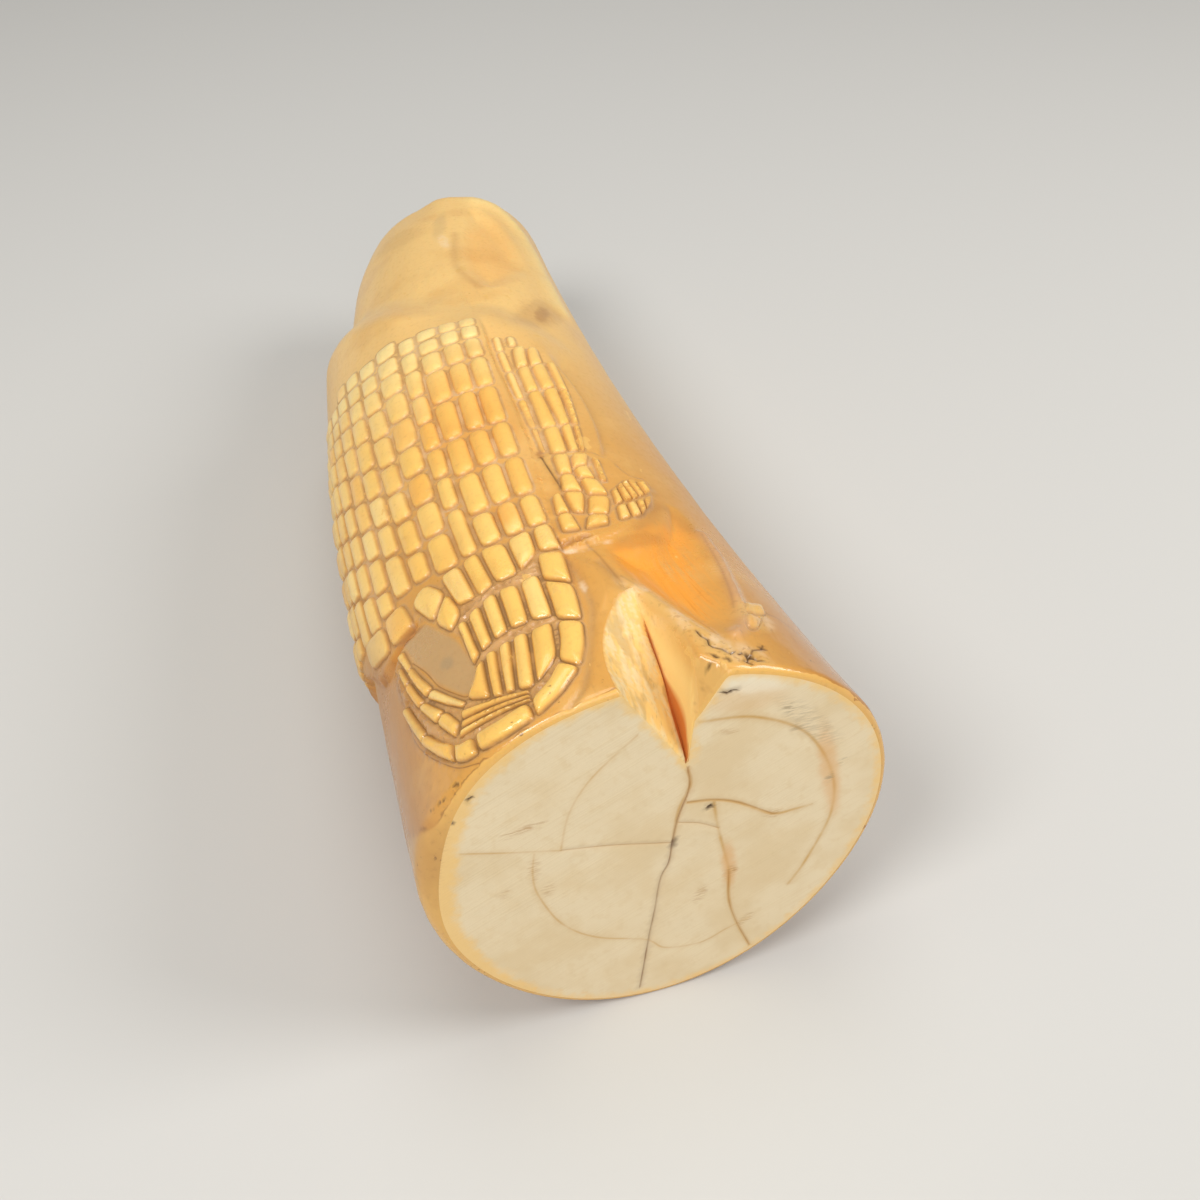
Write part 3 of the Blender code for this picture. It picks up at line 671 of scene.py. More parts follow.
@dataclass(frozen=True)
class Scale:
    """One scale: its outline on the chart, how far its edge stands inside it, and its height."""

    outline: tuple[Spot, ...]
    gap: float
    rise: float
    tint: float
    lean: float
    corner: float

    def corners(self) -> list[Vector]:
        """Return the outline's corners in chart millimetres."""
        return [flat(*corner) for corner in self.outline]

    def width(self) -> float:
        """Return the least width across the middle."""
        points = self.corners()
        pairs = list(zip(points, points[1:] + points[:1]))
        area = abs(sum(a.x * b.y - b.x * a.y for a, b in pairs)) / 2.0
        return 2.5 * area / sum((b - a).length for a, b in pairs)

    def ring(self, depth: float, step: float) -> list[Vector]:
        """Return the line at a depth inside the scale's edge."""
        radius = max(0.12, self.corner * self.width() - 0.5 * depth)
        return rounded(inset(self.corners(), self.gap + depth), radius, step)


@dataclass(frozen=True)
class Ladder:
    """A row of scales between two curved rails, one scale between each two rungs.

    A rung is given by the angle and distance of its end on the first rail, then on the second.
    """

    rungs: tuple[tuple[float, float, float, float], ...]
    height: float = 1.0
    corner: float = 0.32
    gap: float = 0.1

    def cells(self) -> Iterable[Outline]:
        """Return the outline of each scale, its long sides bent with the rails."""
        last = len(self.rungs) - 1
        for index in range(last):
            around = [self.rungs[min(last, max(0, index + shift))] for shift in (-1, 0, 1, 2)]
            bent = [(9.0 * (b + c) - a - d) / 16.0 for a, b, c, d in zip(*around)]
            near, far = around[1], around[2]
            yield [near[:2], tuple(bent[:2]), far[:2], far[2:], tuple(bent[2:]), near[2:]]


PAD_LADDERS = (
    Ladder(((95.3, 23, 102, 24.2), (97, 17.4, 103.6, 19.7), (98.8, 11.5, 104.8, 13),
            (104.2, 4.9, 108.4, 7.1), (117.9, 0.8, 117.6, 3.6), (132.2, 1.3, 132.1, 4.2),
            (138.9, 2.9, 137.6, 5.6), (147.4, 9.9, 144.4, 10.6), (151.3, 16.8, 148.4, 17.2)), 1.15),
    Ladder(((104.6, 13.6, 103.4, 21.2), (110.2, 14.3, 109.1, 21), (115.4, 14.6, 114.9, 21.4),
            (119.8, 14.4, 119.7, 21), (123.6, 13.8, 124, 20.3),
            (126.8, 12.8, 127.3, 19.8)), 1, 0.45, 0.14),
    Ladder(((107.6, 7.9, 105.4, 13.2), (115, 5.2, 111.4, 13.3), (119.3, 6, 115.7, 13.5),
            (122.2, 6.4, 119.6, 13.3), (125.2, 7, 123.2, 13.4), (131.4, 9.4, 126.4, 12.4)), 1, 0.42, 0.13),
    Ladder(((94.9, 23.5, 95, 28.8), (101.3, 24.3, 100.4, 28.9), (107.6, 22.3, 107.9, 28.5),
            (114.6, 22.5, 115.3, 29.2), (119.7, 22.1, 120.8, 28.9),
            (125.4, 22.7, 127.4, 28.9)), 1, 0.44, 0.13),
    Ladder(((124.6, 21.3, 129, 19.6), (126.3, 26.2, 132.6, 23), (131.4, 30, 138.2, 29)), 1, 0.46, 0.1),
    Ladder(((137.6, 25.7, 139.9, 31), (148.6, 26.2, 149.4, 31.8), (162, 29.2, 162.6, 34.6)), 1, 0.5, 0.2),
    Ladder(((133.6, 8.9, 116.6, 5.3), (134, 7.5, 116.8, 4.65), (135, 6.5, 116.9, 4.05),
            (136.3, 5.5, 117, 3.5)), 0.8, 0.3, 0.07),
    Ladder(((147.9, 24.6, 144.2, 24.4), (145.2, 20.4, 142.9, 21), (141.9, 14.6, 138.6, 15),
            (132.6, 8.7, 130.9, 9.3)), 0.9, 0.34, 0.08),
    Ladder(((148.9, 23.3, 146.6, 22.6), (147.7, 19, 145.2, 19.6), (145.2, 14.4, 142.2, 14.6),
            (141, 10, 137.2, 10.7), (136.9, 5.8, 134.2, 7.4)), 0.9, 0.34, 0.08),
)

LIMB_LADDERS = (
    Ladder(((86.1, 42.4, 80.5, 42.7), (85.2, 48.9, 79.5, 49.2), (84.2, 58.3, 79.3, 58.8),
            (84, 65.1, 79.2, 65.6), (82.6, 71.1, 77.8, 71.4)), 0.9),
    Ladder(((80.4, 42.7, 76.9, 43), (79.4, 49.2, 75.3, 49.7), (78.9, 58.8, 73.6, 59.4),
            (79, 65.6, 73.9, 66.4), (77.6, 71.4, 73.6, 71)), 0.9),
    Ladder(((76.8, 43, 74.9, 43.2), (75.2, 49.6, 72.8, 49.3), (73.4, 59.2, 70.2, 58.2),
            (73.5, 67.2, 70.1, 66)), 0.9),
    Ladder(((86.4, 42.3, 80.9, 42.1), (87.2, 37.8, 82.6, 37.6), (88.2, 34.3, 82.4, 33.5),
            (88.2, 29.9, 85.2, 29.2))),
    Ladder(((80.7, 42.2, 75.2, 41.8), (82.4, 38.8, 77.4, 39.2), (82.4, 36.4, 77.2, 35.9),
            (82.4, 32.8, 76.2, 32.2), (85, 29, 79.2, 28.4), (87.8, 26.2, 80.4, 26.5))),
    Ladder(((75.4, 41.3, 73.1, 40.7), (76.8, 35.6, 74.3, 35.5))),
    Ladder(((91.4, 34, 88.3, 34.2), (92.8, 30, 88.3, 29.9), (93.5, 26.6, 88.1, 26.2))),
    Ladder(((88.6, 43.6, 86.6, 43.4), (88.4, 49.6, 85.8, 49.4), (88.5, 57, 84.9, 57),
            (88.4, 64.6, 84.8, 64.4), (88.2, 70.6, 84.6, 70.6),
            (87.9, 75.2, 84.4, 75.2)), 0.45, 0.45, 0.18),
    Ladder(((83.6, 71.6, 79.7, 71.8), (83.4, 75, 79.6, 75.1)), 0.5, 0.45, 0.2),
    Ladder(((75.2, 33.6, 76.2, 30.4), (72.8, 34.5, 73.1, 31), (70.7, 35.4, 70.2, 31.5),
            (68.5, 36.2, 67.6, 32.2), (65.9, 36, 65.3, 32.8), (63, 35.8, 62.8, 33.6)), 1, 0.34, 0.06),
    Ladder(((76.4, 30.2, 77.4, 27.2), (72.9, 30.8, 73.4, 27.7), (69.6, 31.4, 70, 28.3),
            (66.6, 32.1, 67.6, 29.6), (63.4, 33, 65, 31)), 1, 0.34, 0.06),
    Ladder(((50.2, 13, 57.4, 12), (51.6, 10.4, 60.8, 9.3)), 0.7, 0.5, 0.06),
    Ladder(((53.4, 10.1, 61.2, 9), (59.2, 6.8, 63.8, 6.2)), 0.6, 0.6, 0.06),
)


@dataclass(frozen=True)
class ScalePattern:
    """Lays out every scale of the hide, the curled pad, the limb and the foot."""

    rise: float = 0.55
    hide_gap: float = 0.13
    hide_corner: float = 0.4
    first_column: float = 94.7
    pitches: tuple[float, ...] = (6.4, 6.4, 6.9, 5.9, 8.0, 7.2, 7.2, 7.3, 7.3, 7.4, 7.4, 7.5, 7.5, 7.5, 7.5)
    crest_columns: int = 3
    crest_rows: tuple[float, ...] = (28.8, 35.2, 43.5, 51.5, 60.7, 68.7, 74.2, 78.4, 82.1, 85.4)
    flank_rows: tuple[float, ...] = (29.0, 36.0, 42.7, 49.1, 55.4, 62.2, 69.0, 74.4, 79.0, 83.2, 87.0)
    flank_step: float = 4.6
    near_edges: tuple[float, ...] = (28.8, 28.8, 28.8, 28.8, 28.8, 30.4)
    flank_edge: float = 31.4
    flank_edge_slope: float = 0.22
    least_row: float = 2.5
    turn_of_rows: float = 2.6
    splay_start: float = -4.0
    splay_gain: float = 9.0
    fading_run: float = 14.0
    fading: float = 0.7
    row_lean: float = 0.2
    unevenness: float = 0.07
    random_source: random.Random = field(default_factory=lambda: random.Random(11))

    def scale(self, outline: Outline, gap: float, height: float, corner: float) -> Scale:
        """Return a scale with an outline, and a height that suits its width."""
        drawn = Scale(tuple(outline), 0.0, 0.0, 0.0, 0.0, corner)
        width = drawn.width()
        rise = min(self.rise, 0.28 * width + 0.12) * height
        pick = self.random_source
        return Scale(drawn.outline, min(gap, 0.16 * width), rise * pick.uniform(0.88, 1.1),
                     pick.gauss(0.0, 1.0), pick.gauss(0.0, 1.0), corner)

    def column_line(self, index: int, along: float) -> float:
        """Return the angle of a groove between columns, which splay apart towards the tip."""
        angle = self.first_column + sum(self.pitches[:index])
        splay = self.splay_start + self.splay_gain * smooth((angle - 95.0) / 55.0)
        return angle + splay * (along - 30.0) / 55.0

    def rows(self, column: int) -> list[float]:
        """Return the cross grooves of one column, from the pad's border to the hide's far edge."""
        far_end = 83.4 + 0.14 * max(0.0, self.column_line(column, 85.0) + 3.0 - 110.0)
        if column < len(self.near_edges):
            near_end = self.near_edges[column]
        else:
            turned = max(0.0, self.column_line(column, 60.0) - 150.0)
            near_end = self.flank_edge + self.flank_edge_slope * turned
        rows = list(self.crest_rows if column < self.crest_columns else self.flank_rows)
        while rows[-1] + self.flank_step < far_end:
            rows.append(rows[-1] + self.flank_step)
        if column == self.crest_columns:
            rows = [rows[0]] + [row + self.turn_of_rows for row in rows[1:-1]]
        elif column >= len(self.near_edges) and column % 2 == 0:
            rows = [mix(near, far, 0.5) for near, far in zip(rows, rows[1:])]
        return [near_end] + [row for row in rows if near_end + self.least_row < row < far_end]

    def hide(self) -> list[Scale]:
        """Return the hide's scales, column by column."""
        scales = []
        for column in range(len(self.pitches)):
            rows = self.rows(column)
            for near, far in zip(rows, rows[1:]):
                fading = 1.0 - self.fading * smooth((far - rows[-1]) / self.fading_run + 1.0)
                corners = []
                for line, row in ((0, near), (0, far), (1, far), (1, near)):
                    angle = self.column_line(column + line, row)
                    lean = self.row_lean * smooth((angle - 112.0) / 35.0) * self.pitches[column]
                    corners.append((angle, row + lean * (line - 0.5)))
                scales.append(self.scale(self.shrunk(corners), self.hide_gap, fading, self.hide_corner))
        return scales

    def shrunk(self, corners: Outline) -> Outline:
        """Return corners drawn in unevenly towards their middle, as hand-cut scales are."""
        middle = (sum(corner[0] for corner in corners) / len(corners),
                  sum(corner[1] for corner in corners) / len(corners))
        drawn = []
        for angle, along in corners:
            share = self.random_source.uniform(0.0, self.unevenness)
            drawn.append((mix(angle, middle[0], share), mix(along, middle[1], share)))
        return drawn

    def ladders(self, ladders: Iterable[Ladder]) -> list[Scale]:
        """Return the scales of some ladders."""
        return [self.scale(cell, ladder.gap, ladder.height, ladder.corner)
                for ladder in ladders for cell in ladder.cells()]


# ---- marks

class MarkKind(Enum):
    """What a patch on the skin or the sawn face does to it."""

    STAIN = "stain"
    HONEY = "honey"
    # Pale patches are partly pale marks and partly painted highlights, along the lobe's far edge and on the
    # sawn face's top edge.
    PALE = "pale"
    GRIME = "grime"
    GREY = "grey"
    MOTTLE = "mottle"


@dataclass(frozen=True)
class Patch:
    """A soft-edged patch: its middle, half length, half width, turn, strength and depth."""

    kind: MarkKind
    middle: Spot
    length: float
    width: float
    turn: float = 0.0
    strength: float = 1.0
    depth: float = 0.0

    def shape(self, tree: Tree, place: tuple[Value, Value], wobble: tuple[Value, Value],
              centre: Spot) -> Value:
        """Return how strongly the patch covers a place.

        Args:
            tree: the tree to write into.
            place: the place's two coordinates in millimetres.
            wobble: two uneven values that roughen the patch's border.
            centre: the patch's middle in the same coordinates.

        Returns:
            The cover, from 0 to the patch's strength.
        """
        across = place[0] + wobble[0] * (0.7 * self.width) - centre[0]
        along = place[1] + wobble[1] * (0.7 * self.width) - centre[1]
        cosine, sine = math.cos(math.radians(self.turn)), math.sin(math.radians(self.turn))
        lengthways = (across * cosine + along * sine) / self.length
        sideways = (along * cosine - across * sine) / self.width
        away = tree.maths("SQRT", lengthways * lengthways + sideways * sideways)
        return tree.fall(away, 0.55, 1.25) * self.strength


def patches(rows: dict[MarkKind, Iterable[tuple]]) -> tuple[Patch, ...]:
    """Return patches from the rows of each kind, a row starting with the middle."""
    return tuple(Patch(kind, *row) for kind, found in rows.items() for row in found)


class LineKind(Enum):
    """How wide and how deep a drawn line is; a ridge stands up instead."""

    SPLIT = (0.15, 0.22)
    CRACK = (0.15, 0.12)
    HAIR = (0.09, 0.05)
    SEAM = (0.45, 0.2)
    SHADE = (0.9, 0.0)
    RING = (0.26, 0.0)
    FAINT = (0.17, 0.0)
    RIDGE = (0.75, -0.55)
    # A roll stands up; the skin's finish also paints it paler, a painted highlight on the tip's rounded rim.
    ROLL = (2.4, -0.6)

    @property
    def half_width(self) -> float:
        """Return the line's half width in millimetres."""
        return self.value[0]

    @property
    def depth(self) -> float:
        """Return how deep the line is cut."""
        return self.value[1]


@dataclass(frozen=True)
class Line:
    """A line drawn on the chart or the sawn face."""

    kind: LineKind
    points: tuple[Spot, ...]

    def path(self, to_plane: Callable[..., Vector], step: float) -> list[Vector]:
        """Return the line as a smooth curve in plane millimetres."""
        return curved([to_plane(*point) for point in self.points], step, closed=False)


def drawn_lines(paths: dict[LineKind, Iterable[tuple[Spot, ...]]]) -> tuple[Line, ...]:
    """Return lines from the paths of each kind."""
    return tuple(Line(kind, path) for kind, found in paths.items() for path in found)


def make_guide(name: str, paths: Iterable[list[Vector]], closed: bool,
               numbers: dict[str, list[float]] | None = None) -> bpy.types.Object:
    """Make a flat guide and link it while the trees read it.

    Args:
        name: name of the guide object.
        paths: outlines or lines in plane millimetres.
        closed: True for one face to an outline, False for open lines.
        numbers: values to store on the faces, one list to a name.

    Returns:
        The guide object.
    """
    verts: list[tuple[float, float, float]] = []
    edges, faces = [], []
    for path in paths:
        places = range(len(verts), len(verts) + len(path))
        if closed:
            faces.append(places)
        else:
            edges += zip(places, places[1:])
        verts += [(point.x, point.y, 0.0) for point in path]
    if not verts:
        verts, edges = [(500.0, 500.0, 0.0), (501.0, 500.0, 0.0)], [(0, 1)]
    mesh = bpy.data.meshes.new(name)
    mesh.from_pydata(verts, edges, faces)
    for key, values in (numbers or {}).items():
        mesh.attributes.new(key, "FLOAT", "FACE").data.foreach_set("value", values)
    guide = bpy.data.objects.new(name, mesh)
    bpy.context.scene.collection.objects.link(guide)
    return guide


def side_paths(path: list[Vector], offset: float) -> list[list[Vector]]:
    """Return the two lines that run beside an open line."""
    sides = []
    for way in (-1.0, 1.0):
        side = []
        for index, point in enumerate(path):
            run = path[min(len(path) - 1, index + 1)] - path[max(0, index - 1)]
            side.append(point + Vector((-run.y, run.x)).normalized() * (offset * way))
        sides.append(side)
    return sides


# ---- flat meshes

@dataclass(frozen=True)
class Zone:
    """A part of the chart and the spacing of free points inside it."""

    right: float
    left: float
    near: float
    far: float
    spacing: float

    def holds(self, angle: float, along: float) -> bool:
        """Say whether a chart point is in the zone."""
        return self.right <= angle <= self.left and self.near <= along <= self.far


class Layout:
    """Lines and free points in a plane, triangulated together."""

    def __init__(self) -> None:
        """Start empty."""
        self.points: list[Vector] = []
        self.edges: list[tuple[int, int]] = []

    def line(self, path: Sequence[Vector], closed: bool = False) -> None:
        """Add a line whose sides stay edges of the mesh."""
        start = len(self.points)
        self.points += [Vector((point[0], point[1])) for point in path]
        self.edges += [(start + index, start + index + 1) for index in range(len(path) - 1)]
        if closed:
            self.edges.append((len(self.points) - 1, start))

    def scatter(self, spots: Iterable[tuple[Vector, float]]) -> None:
        """Add free points that keep clear of the lines, each by its own gap."""
        tree = KDTree(len(self.points))
        for index, point in enumerate(self.points):
            tree.insert((point.x, point.y, 0.0), index)
        tree.balance()
        for spot, gap in spots:
            if tree.find((spot.x, spot.y, 0.0))[2] > gap:
                self.points.append(spot)

    def mesh(self, name: str, turned: bool) -> bpy.types.Mesh:
        """Triangulate inside the border.

        Args:
            name: name of the mesh.
            turned: True to face the triangles the other way.

        Returns:
            The flat mesh, in plane millimetres.
        """
        verts, _, faces, *_ = delaunay_2d_cdt(self.points, self.edges, [], 1, 1e-5)
        order = [face[::-1] for face in faces] if turned else faces
        made = bpy.data.meshes.new(name)
        made.from_pydata([(vert.x, vert.y, 0.0) for vert in verts], [], order)
        return made


def hex_grid(low: Spot, high: Spot, spacing: float) -> Iterable[Vector]:
    """Return points of an even six-sided grid inside a rectangle."""
    rows = int((high[1] - low[1]) / (spacing * 0.866)) + 1
    columns = int((high[0] - low[0]) / spacing) + 1
    for row in range(rows):
        for column in range(columns):
            yield Vector((low[0] + (column + 0.5 * (row % 2)) * spacing, low[1] + row * spacing * 0.866))


def border_loops(mesh: bpy.types.Mesh) -> list[list[int]]:
    """Return the open border loops of a mesh as lists of point numbers."""
    work = bmesh.new()
    work.from_mesh(mesh)
    follow: dict[int, list[int]] = {}
    for edge in work.edges:
        if edge.is_boundary:
            first, last = (vert.index for vert in edge.verts)
            follow.setdefault(first, []).append(last)
            follow.setdefault(last, []).append(first)
    work.free()
    loops = []
    while follow:
        start = next(iter(follow))
        loop, here, before = [start], follow[start][0], start
        while here != start:
            loop.append(here)
            ahead = [place for place in follow[here] if place != before]
            before, here = here, ahead[0]
        for place in loop:
            follow.pop(place, None)
        loops.append(loop)
    return loops


def read_numbers(mesh: bpy.types.Mesh, name: str) -> np.ndarray:
    """Return a stored point value of a mesh as an array."""
    values = np.empty(len(mesh.vertices), dtype=np.float32)
    mesh.attributes[name].data.foreach_get("value", values)
    return values


@dataclass(frozen=True)
class Marks:
    """What is drawn on one surface, on the chart or on a sawn face, and what roughens it."""

    to_plane: Callable[[float, float], Vector]
    lines: tuple[Line, ...] = ()
    patches: tuple[Patch, ...] = ()
    wobble_scale: float = 0.9
    cover_least: float = 0.7
    cover_gain: float = 0.6
    cover_scale: float = 0.8
    side_gap: float = 1.3
    line_step: float = 0.4
    widest_edged: float = 0.5

    def draw(self, layout: Layout, holds: Callable[[Vector], bool]) -> None:
        """Add each narrow line and its two sides to a layout, where a point may stand."""
        for line in self.lines:
            if line.kind.half_width < self.widest_edged:
                path = line.path(self.to_plane, self.line_step)
                for side in [path] + side_paths(path, line.kind.half_width * self.side_gap):
                    layout.line([point for point in side if holds(point)])

    def guides(self) -> dict[str, bpy.types.Object]:
        """Make one guide of the lines of each kind."""
        return {kind.name.lower(): make_guide(
            kind.name.lower() + "_lines",
            [line.path(self.to_plane, self.line_step) for line in self.lines if line.kind is kind], False)
            for kind in LineKind}

    def cut(self, tree: GeometryTree, guides: Guides, place: Value,
            uneven: Value, height: Value, share: Number = 1.0) -> Value:
        """Store how strongly each kind of mark covers a place, and cut the marks that have a depth.

        Args:
            tree: the tree to write into.
            guides: the guides' geometry by name.
            place: the place in the surface's plane.
            uneven: the place that the roughening noise is read at.
            height: the surface's height before.
            share: share of the depth that is cut.

        Returns:
            The surface's height after.
        """
        across, along, _ = tree.split(place)
        wobble = tuple(tree.noise(spot, self.wobble_scale, 3.0) - 0.5
                       for spot in (uneven, tree.shifted(uneven, 31.0)))
        patchy = tree.noise(tree.shifted(uneven, 17.0), self.cover_scale)
        patchy = self.cover_least + self.cover_gain * patchy
        for kind in LineKind:
            away = tree.distance(guides[kind.name.lower()], place)
            cover = tree.bump(away, 0.0, kind.half_width) * patchy
            height = height - cover * share * kind.depth
            tree.store(kind.name.lower(), cover)
        for kind in MarkKind:
            strongest = across * 0.0
            for patch in self.patches:
                if patch.kind is kind:
                    middle = tuple(self.to_plane(*patch.middle))
                    cover = patch.shape(tree, (across, along), wobble, middle)
                    height = height - cover * share * patch.depth if patch.depth else height
                    strongest = tree.high(strongest, cover)
            tree.store(kind.value, strongest)
        return height


# ---- the skin

@dataclass(frozen=True)
class Relief:
    """Heights, depths and runs of the carved relief, in millimetres."""

    hide_start: float = 0.27
    hide_gain: float = 0.0385
    cell_rise: float = 0.55
    shoulder: float = 0.8
    hide_shoulder: float = 1.0
    dome: float = 0.22
    lean: float = 0.045
    edge_run: float = 0.45
    far_run: float = 11.0
    far_fade: float = 0.85
    flank_run: float = 2.2
    limb_run: float = 1.0
    limb_far_run: float = 10.0
    limb_share: float = 0.62
    foot_run: float = 0.8
    foot_share: float = 0.75
    scoop_depth: float = 1.9
    scoop_run: float = 5.0
    lobe_rise: float = 0.5
    lobe_run: float = 2.2
    flute_depth: float = 0.9
    flute_run: float = 4.5
    tooling: float = 0.05
    tooling_scale: float = 0.28
    small_scale: float = 1.4
    warp: float = 0.5
    warp_scale: float = 0.16
    slope_rough: float = 0.75
    rubble: float = 0.3


SKIN_LINES = drawn_lines({
    LineKind.SPLIT: (
        ((75.6, 6.4), (75.3, 5.5), (74.4, 5), (74.9, 4), (73.6, 3.4), (72.6, 3.3), (71.6, 2.4), (70.4, 2.7)),
        ((69.6, 2.3), (68.4, 2.6), (67.8, 1.8), (66.8, 2.1), (66.2, 1.2), (64.9, 1.3)),
        ((67.8, 1.8), (68.6, 1.2), (68.2, 0.6))),
    LineKind.CRACK: (
        ((66.8, 2.1), (65.2, 3), (63, 3.2), (61.4, 4)),
        ((88.9, 43), (88.4, 39), (87.6, 35.5))),
    LineKind.HAIR: (
        ((149.5, 23.7), (151.2, 19.3), (151.9, 16.2), (150.1, 12.2), (147.4, 8.9), (143.1, 5.3),
         (138.5, 2.2), (133.6, 0.6)),
        ((125.8, 12.9), (126.4, 11.4), (128.4, 10.1), (130.8, 10), (133.8, 11.8), (137.4, 14.7),
         (140, 18.4), (142.6, 21.2))),
    LineKind.FAINT: (
        ((88.6, 24.6), (87.2, 22), (86, 19), (85.2, 16.6)),
        ((50.6, 11.2), (47, 11), (42.5, 9.4)),
        ((53.2, 26.5), (54.4, 22), (56.6, 17.6), (59.2, 13.4), (61.4, 10.8)),
        ((84.6, 17.6), (80.4, 14.2), (75.6, 10.6))),
    LineKind.SHADE: (
        ((83.4, 97), (87.9, 101.6), (90.5, 106.4), (89.5, 113.8), (87.4, 120)),
        ((54, 27), (57, 31.6), (62, 31.6), (67, 28.4), (72, 26.6))),
    LineKind.SEAM: (
        ((95.2, 22), (95, 15.3), (96, 13), (97.8, 10.7), (100, 8.3), (103.1, 5), (106.3, 2.2), (110.4, 0.4)),
        ((88, 21), (86, 18.3), (85.5, 15.6))),
    LineKind.RIDGE: (
        ((52, 27), (53, 21.9), (55.1, 17.8), (57.6, 13.5), (59.7, 10.4), (62.7, 7.6), (66.8, 5.5)),),
    LineKind.ROLL: (
        ((45.5, 96), (45, 103.5), (44.6, 116.4), (46.3, 126.9), (52.7, 132.9), (61, 136.6), (72, 137)),),
})

SKIN_PATCHES = patches({
    MarkKind.HONEY: (((74.6, 18.4), 6.5, 3.2, 62, 1), ((67, 25), 6, 2.6, 150, 0.6),
        ((105, 33), 2.6, 1.4, 90, 0.7), ((106, 56), 14, 6, 85, 0.4), ((72, 113), 17, 6, 100, 0.4)),
    MarkKind.STAIN: (((141.8, 25), 2.6, 0.35, 8, 0.9), ((156, 25.9), 2.6, 0.35, 8, 0.8),
        ((61.5, 88.6), 9.5, 3.4, 125, 0.4), ((59.6, 88.9), 5, 1.6, 115, 0.8),
        ((92, 25.2), 1.3, 0.45, 0, 0.8, 0.4), ((88.6, 25.4), 1, 0.4, 0, 0.8, 0.35),
        ((119, 126.5), 8, 4, 20, 0.22), ((88.8, 43.6), 0.9, 0.5, 90, 0.9, 0.1),
        # The last stain on the next line is painted shade at the scoop's top, under the foot's edge.
        ((68, 3), 3.2, 1.4, 60, 0.35), ((164, 14), 20, 8, 90, 0.5), ((74, 24.4), 4.6, 1, 160, 0.4)),
    MarkKind.PALE: (((94.2, 117.6), 3.4, 1.1, 80, 0.5), ((83.3, 10.8), 1, 0.6, 0, 0.5),
        # The four patches on the next two lines are painted highlights along the lobe's far edge.
        ((93.6, 23.9), 1, 0.45, 20, 0.6, 0.1), ((90.2, 23.6), 1.1, 0.35, 10, 0.6, 0.15),
        ((86.6, 24.6), 0.9, 0.5, 60, 0.6, 0.1), ((83, 24.2), 0.8, 0.3, 0, 0.5, 0.1),
        ((94.8, 17.4), 1.1, 0.35, 95, 0.45)),
    MarkKind.MOTTLE: (((57.2, 9.6), 3, 2.4, 120, 0.8), ((80, 11), 6.5, 2.6, 68, 1),
        ((73.5, 4), 4.5, 2, 80, 1), ((66.5, 2.4), 2.6, 1.4, 60, 0.8)),
    MarkKind.GREY: (((95, 125), 6, 1.6, 100, 0.3), ((71.5, 3.4), 1.6, 0.8, 60, 0.3),
        ((133, 16.5), 1.3, 0.8, 60, 0.5)),
    MarkKind.GRIME: (((67.4, 1.9), 0.6, 0.4, 80, 1, 0.2), ((73.1, 1.5), 0.4, 0.3, 30, 0.9, 0.15),
        ((62.2, 3.4), 0.35, 0.25, 50, 0.8, 0.1), ((75.6, 2.2), 0.5, 0.14, 60, 1, 0.15),
        ((77.4, 1.4), 0.4, 0.12, 10, 0.9, 0.15), ((69, 1), 0.5, 0.25, 20, 1, 0.25),
        ((141, 0.9), 0.5, 0.16, 25, 0.8, 0.2), ((138, 0.6), 0.35, 0.16, 10, 0.8, 0.2),
        ((146.5, 1.1), 0.7, 0.12, 20, 0.8, 0.15), ((150.5, 1.7), 0.35, 0.12, 30, 0.7, 0.1)),
})

ZONES = (
    Zone(76.0, 103.0, -0.7, 17.0, 0.3),
    Zone(92.0, 152.0, -0.7, 32.0, 0.31),
    Zone(48.0, 92.0, -0.7, 34.0, 0.38),
    Zone(60.0, 165.0, 30.0, 108.0, 0.44),
    Zone(165.0, 213.0, 30.0, 110.0, 0.62),
    Zone(10.0, 190.0, -0.7, 144.0, 0.85),
    Zone(-90.0, 270.0, -0.7, 144.0, 1.9),
)


class Surface(ABC):
    """A surface that a geometry tree shapes from a flat mesh, measured against guides."""

    @abstractmethod
    def write(self, tree: GeometryTree, guides: Guides) -> None:
        """Write the tree that shapes the flat mesh."""

    def shaped(self, name: str, chart: bpy.types.Mesh, guides: dict[str, bpy.types.Object],
               material: bpy.types.Material) -> bpy.types.Mesh:
        """Run the tree on the flat mesh, and remove the guides.

        Args:
            name: name of the tree and of the mesh that it leaves.
            chart: the flat mesh.
            guides: the guides by name.
            material: the surface's finish.

        Returns:
            The surface as a plain mesh.
        """
        tree = GeometryTree(name)
        self.write(tree, {key: tree.guide(guide) for key, guide in guides.items()})
        tree.finish(material)
        mesh = tree.run(chart, name)
        for guide in guides.values():
            bpy.data.objects.remove(guide, do_unlink=True)
        return mesh


@dataclass(frozen=True)
class ChartPlace:
    """One chart point inside the skin's tree, and the same point on a plain round bar."""

    spot: Value
    angle: Value
    along: Value
    ring: Value
    seamless: Value


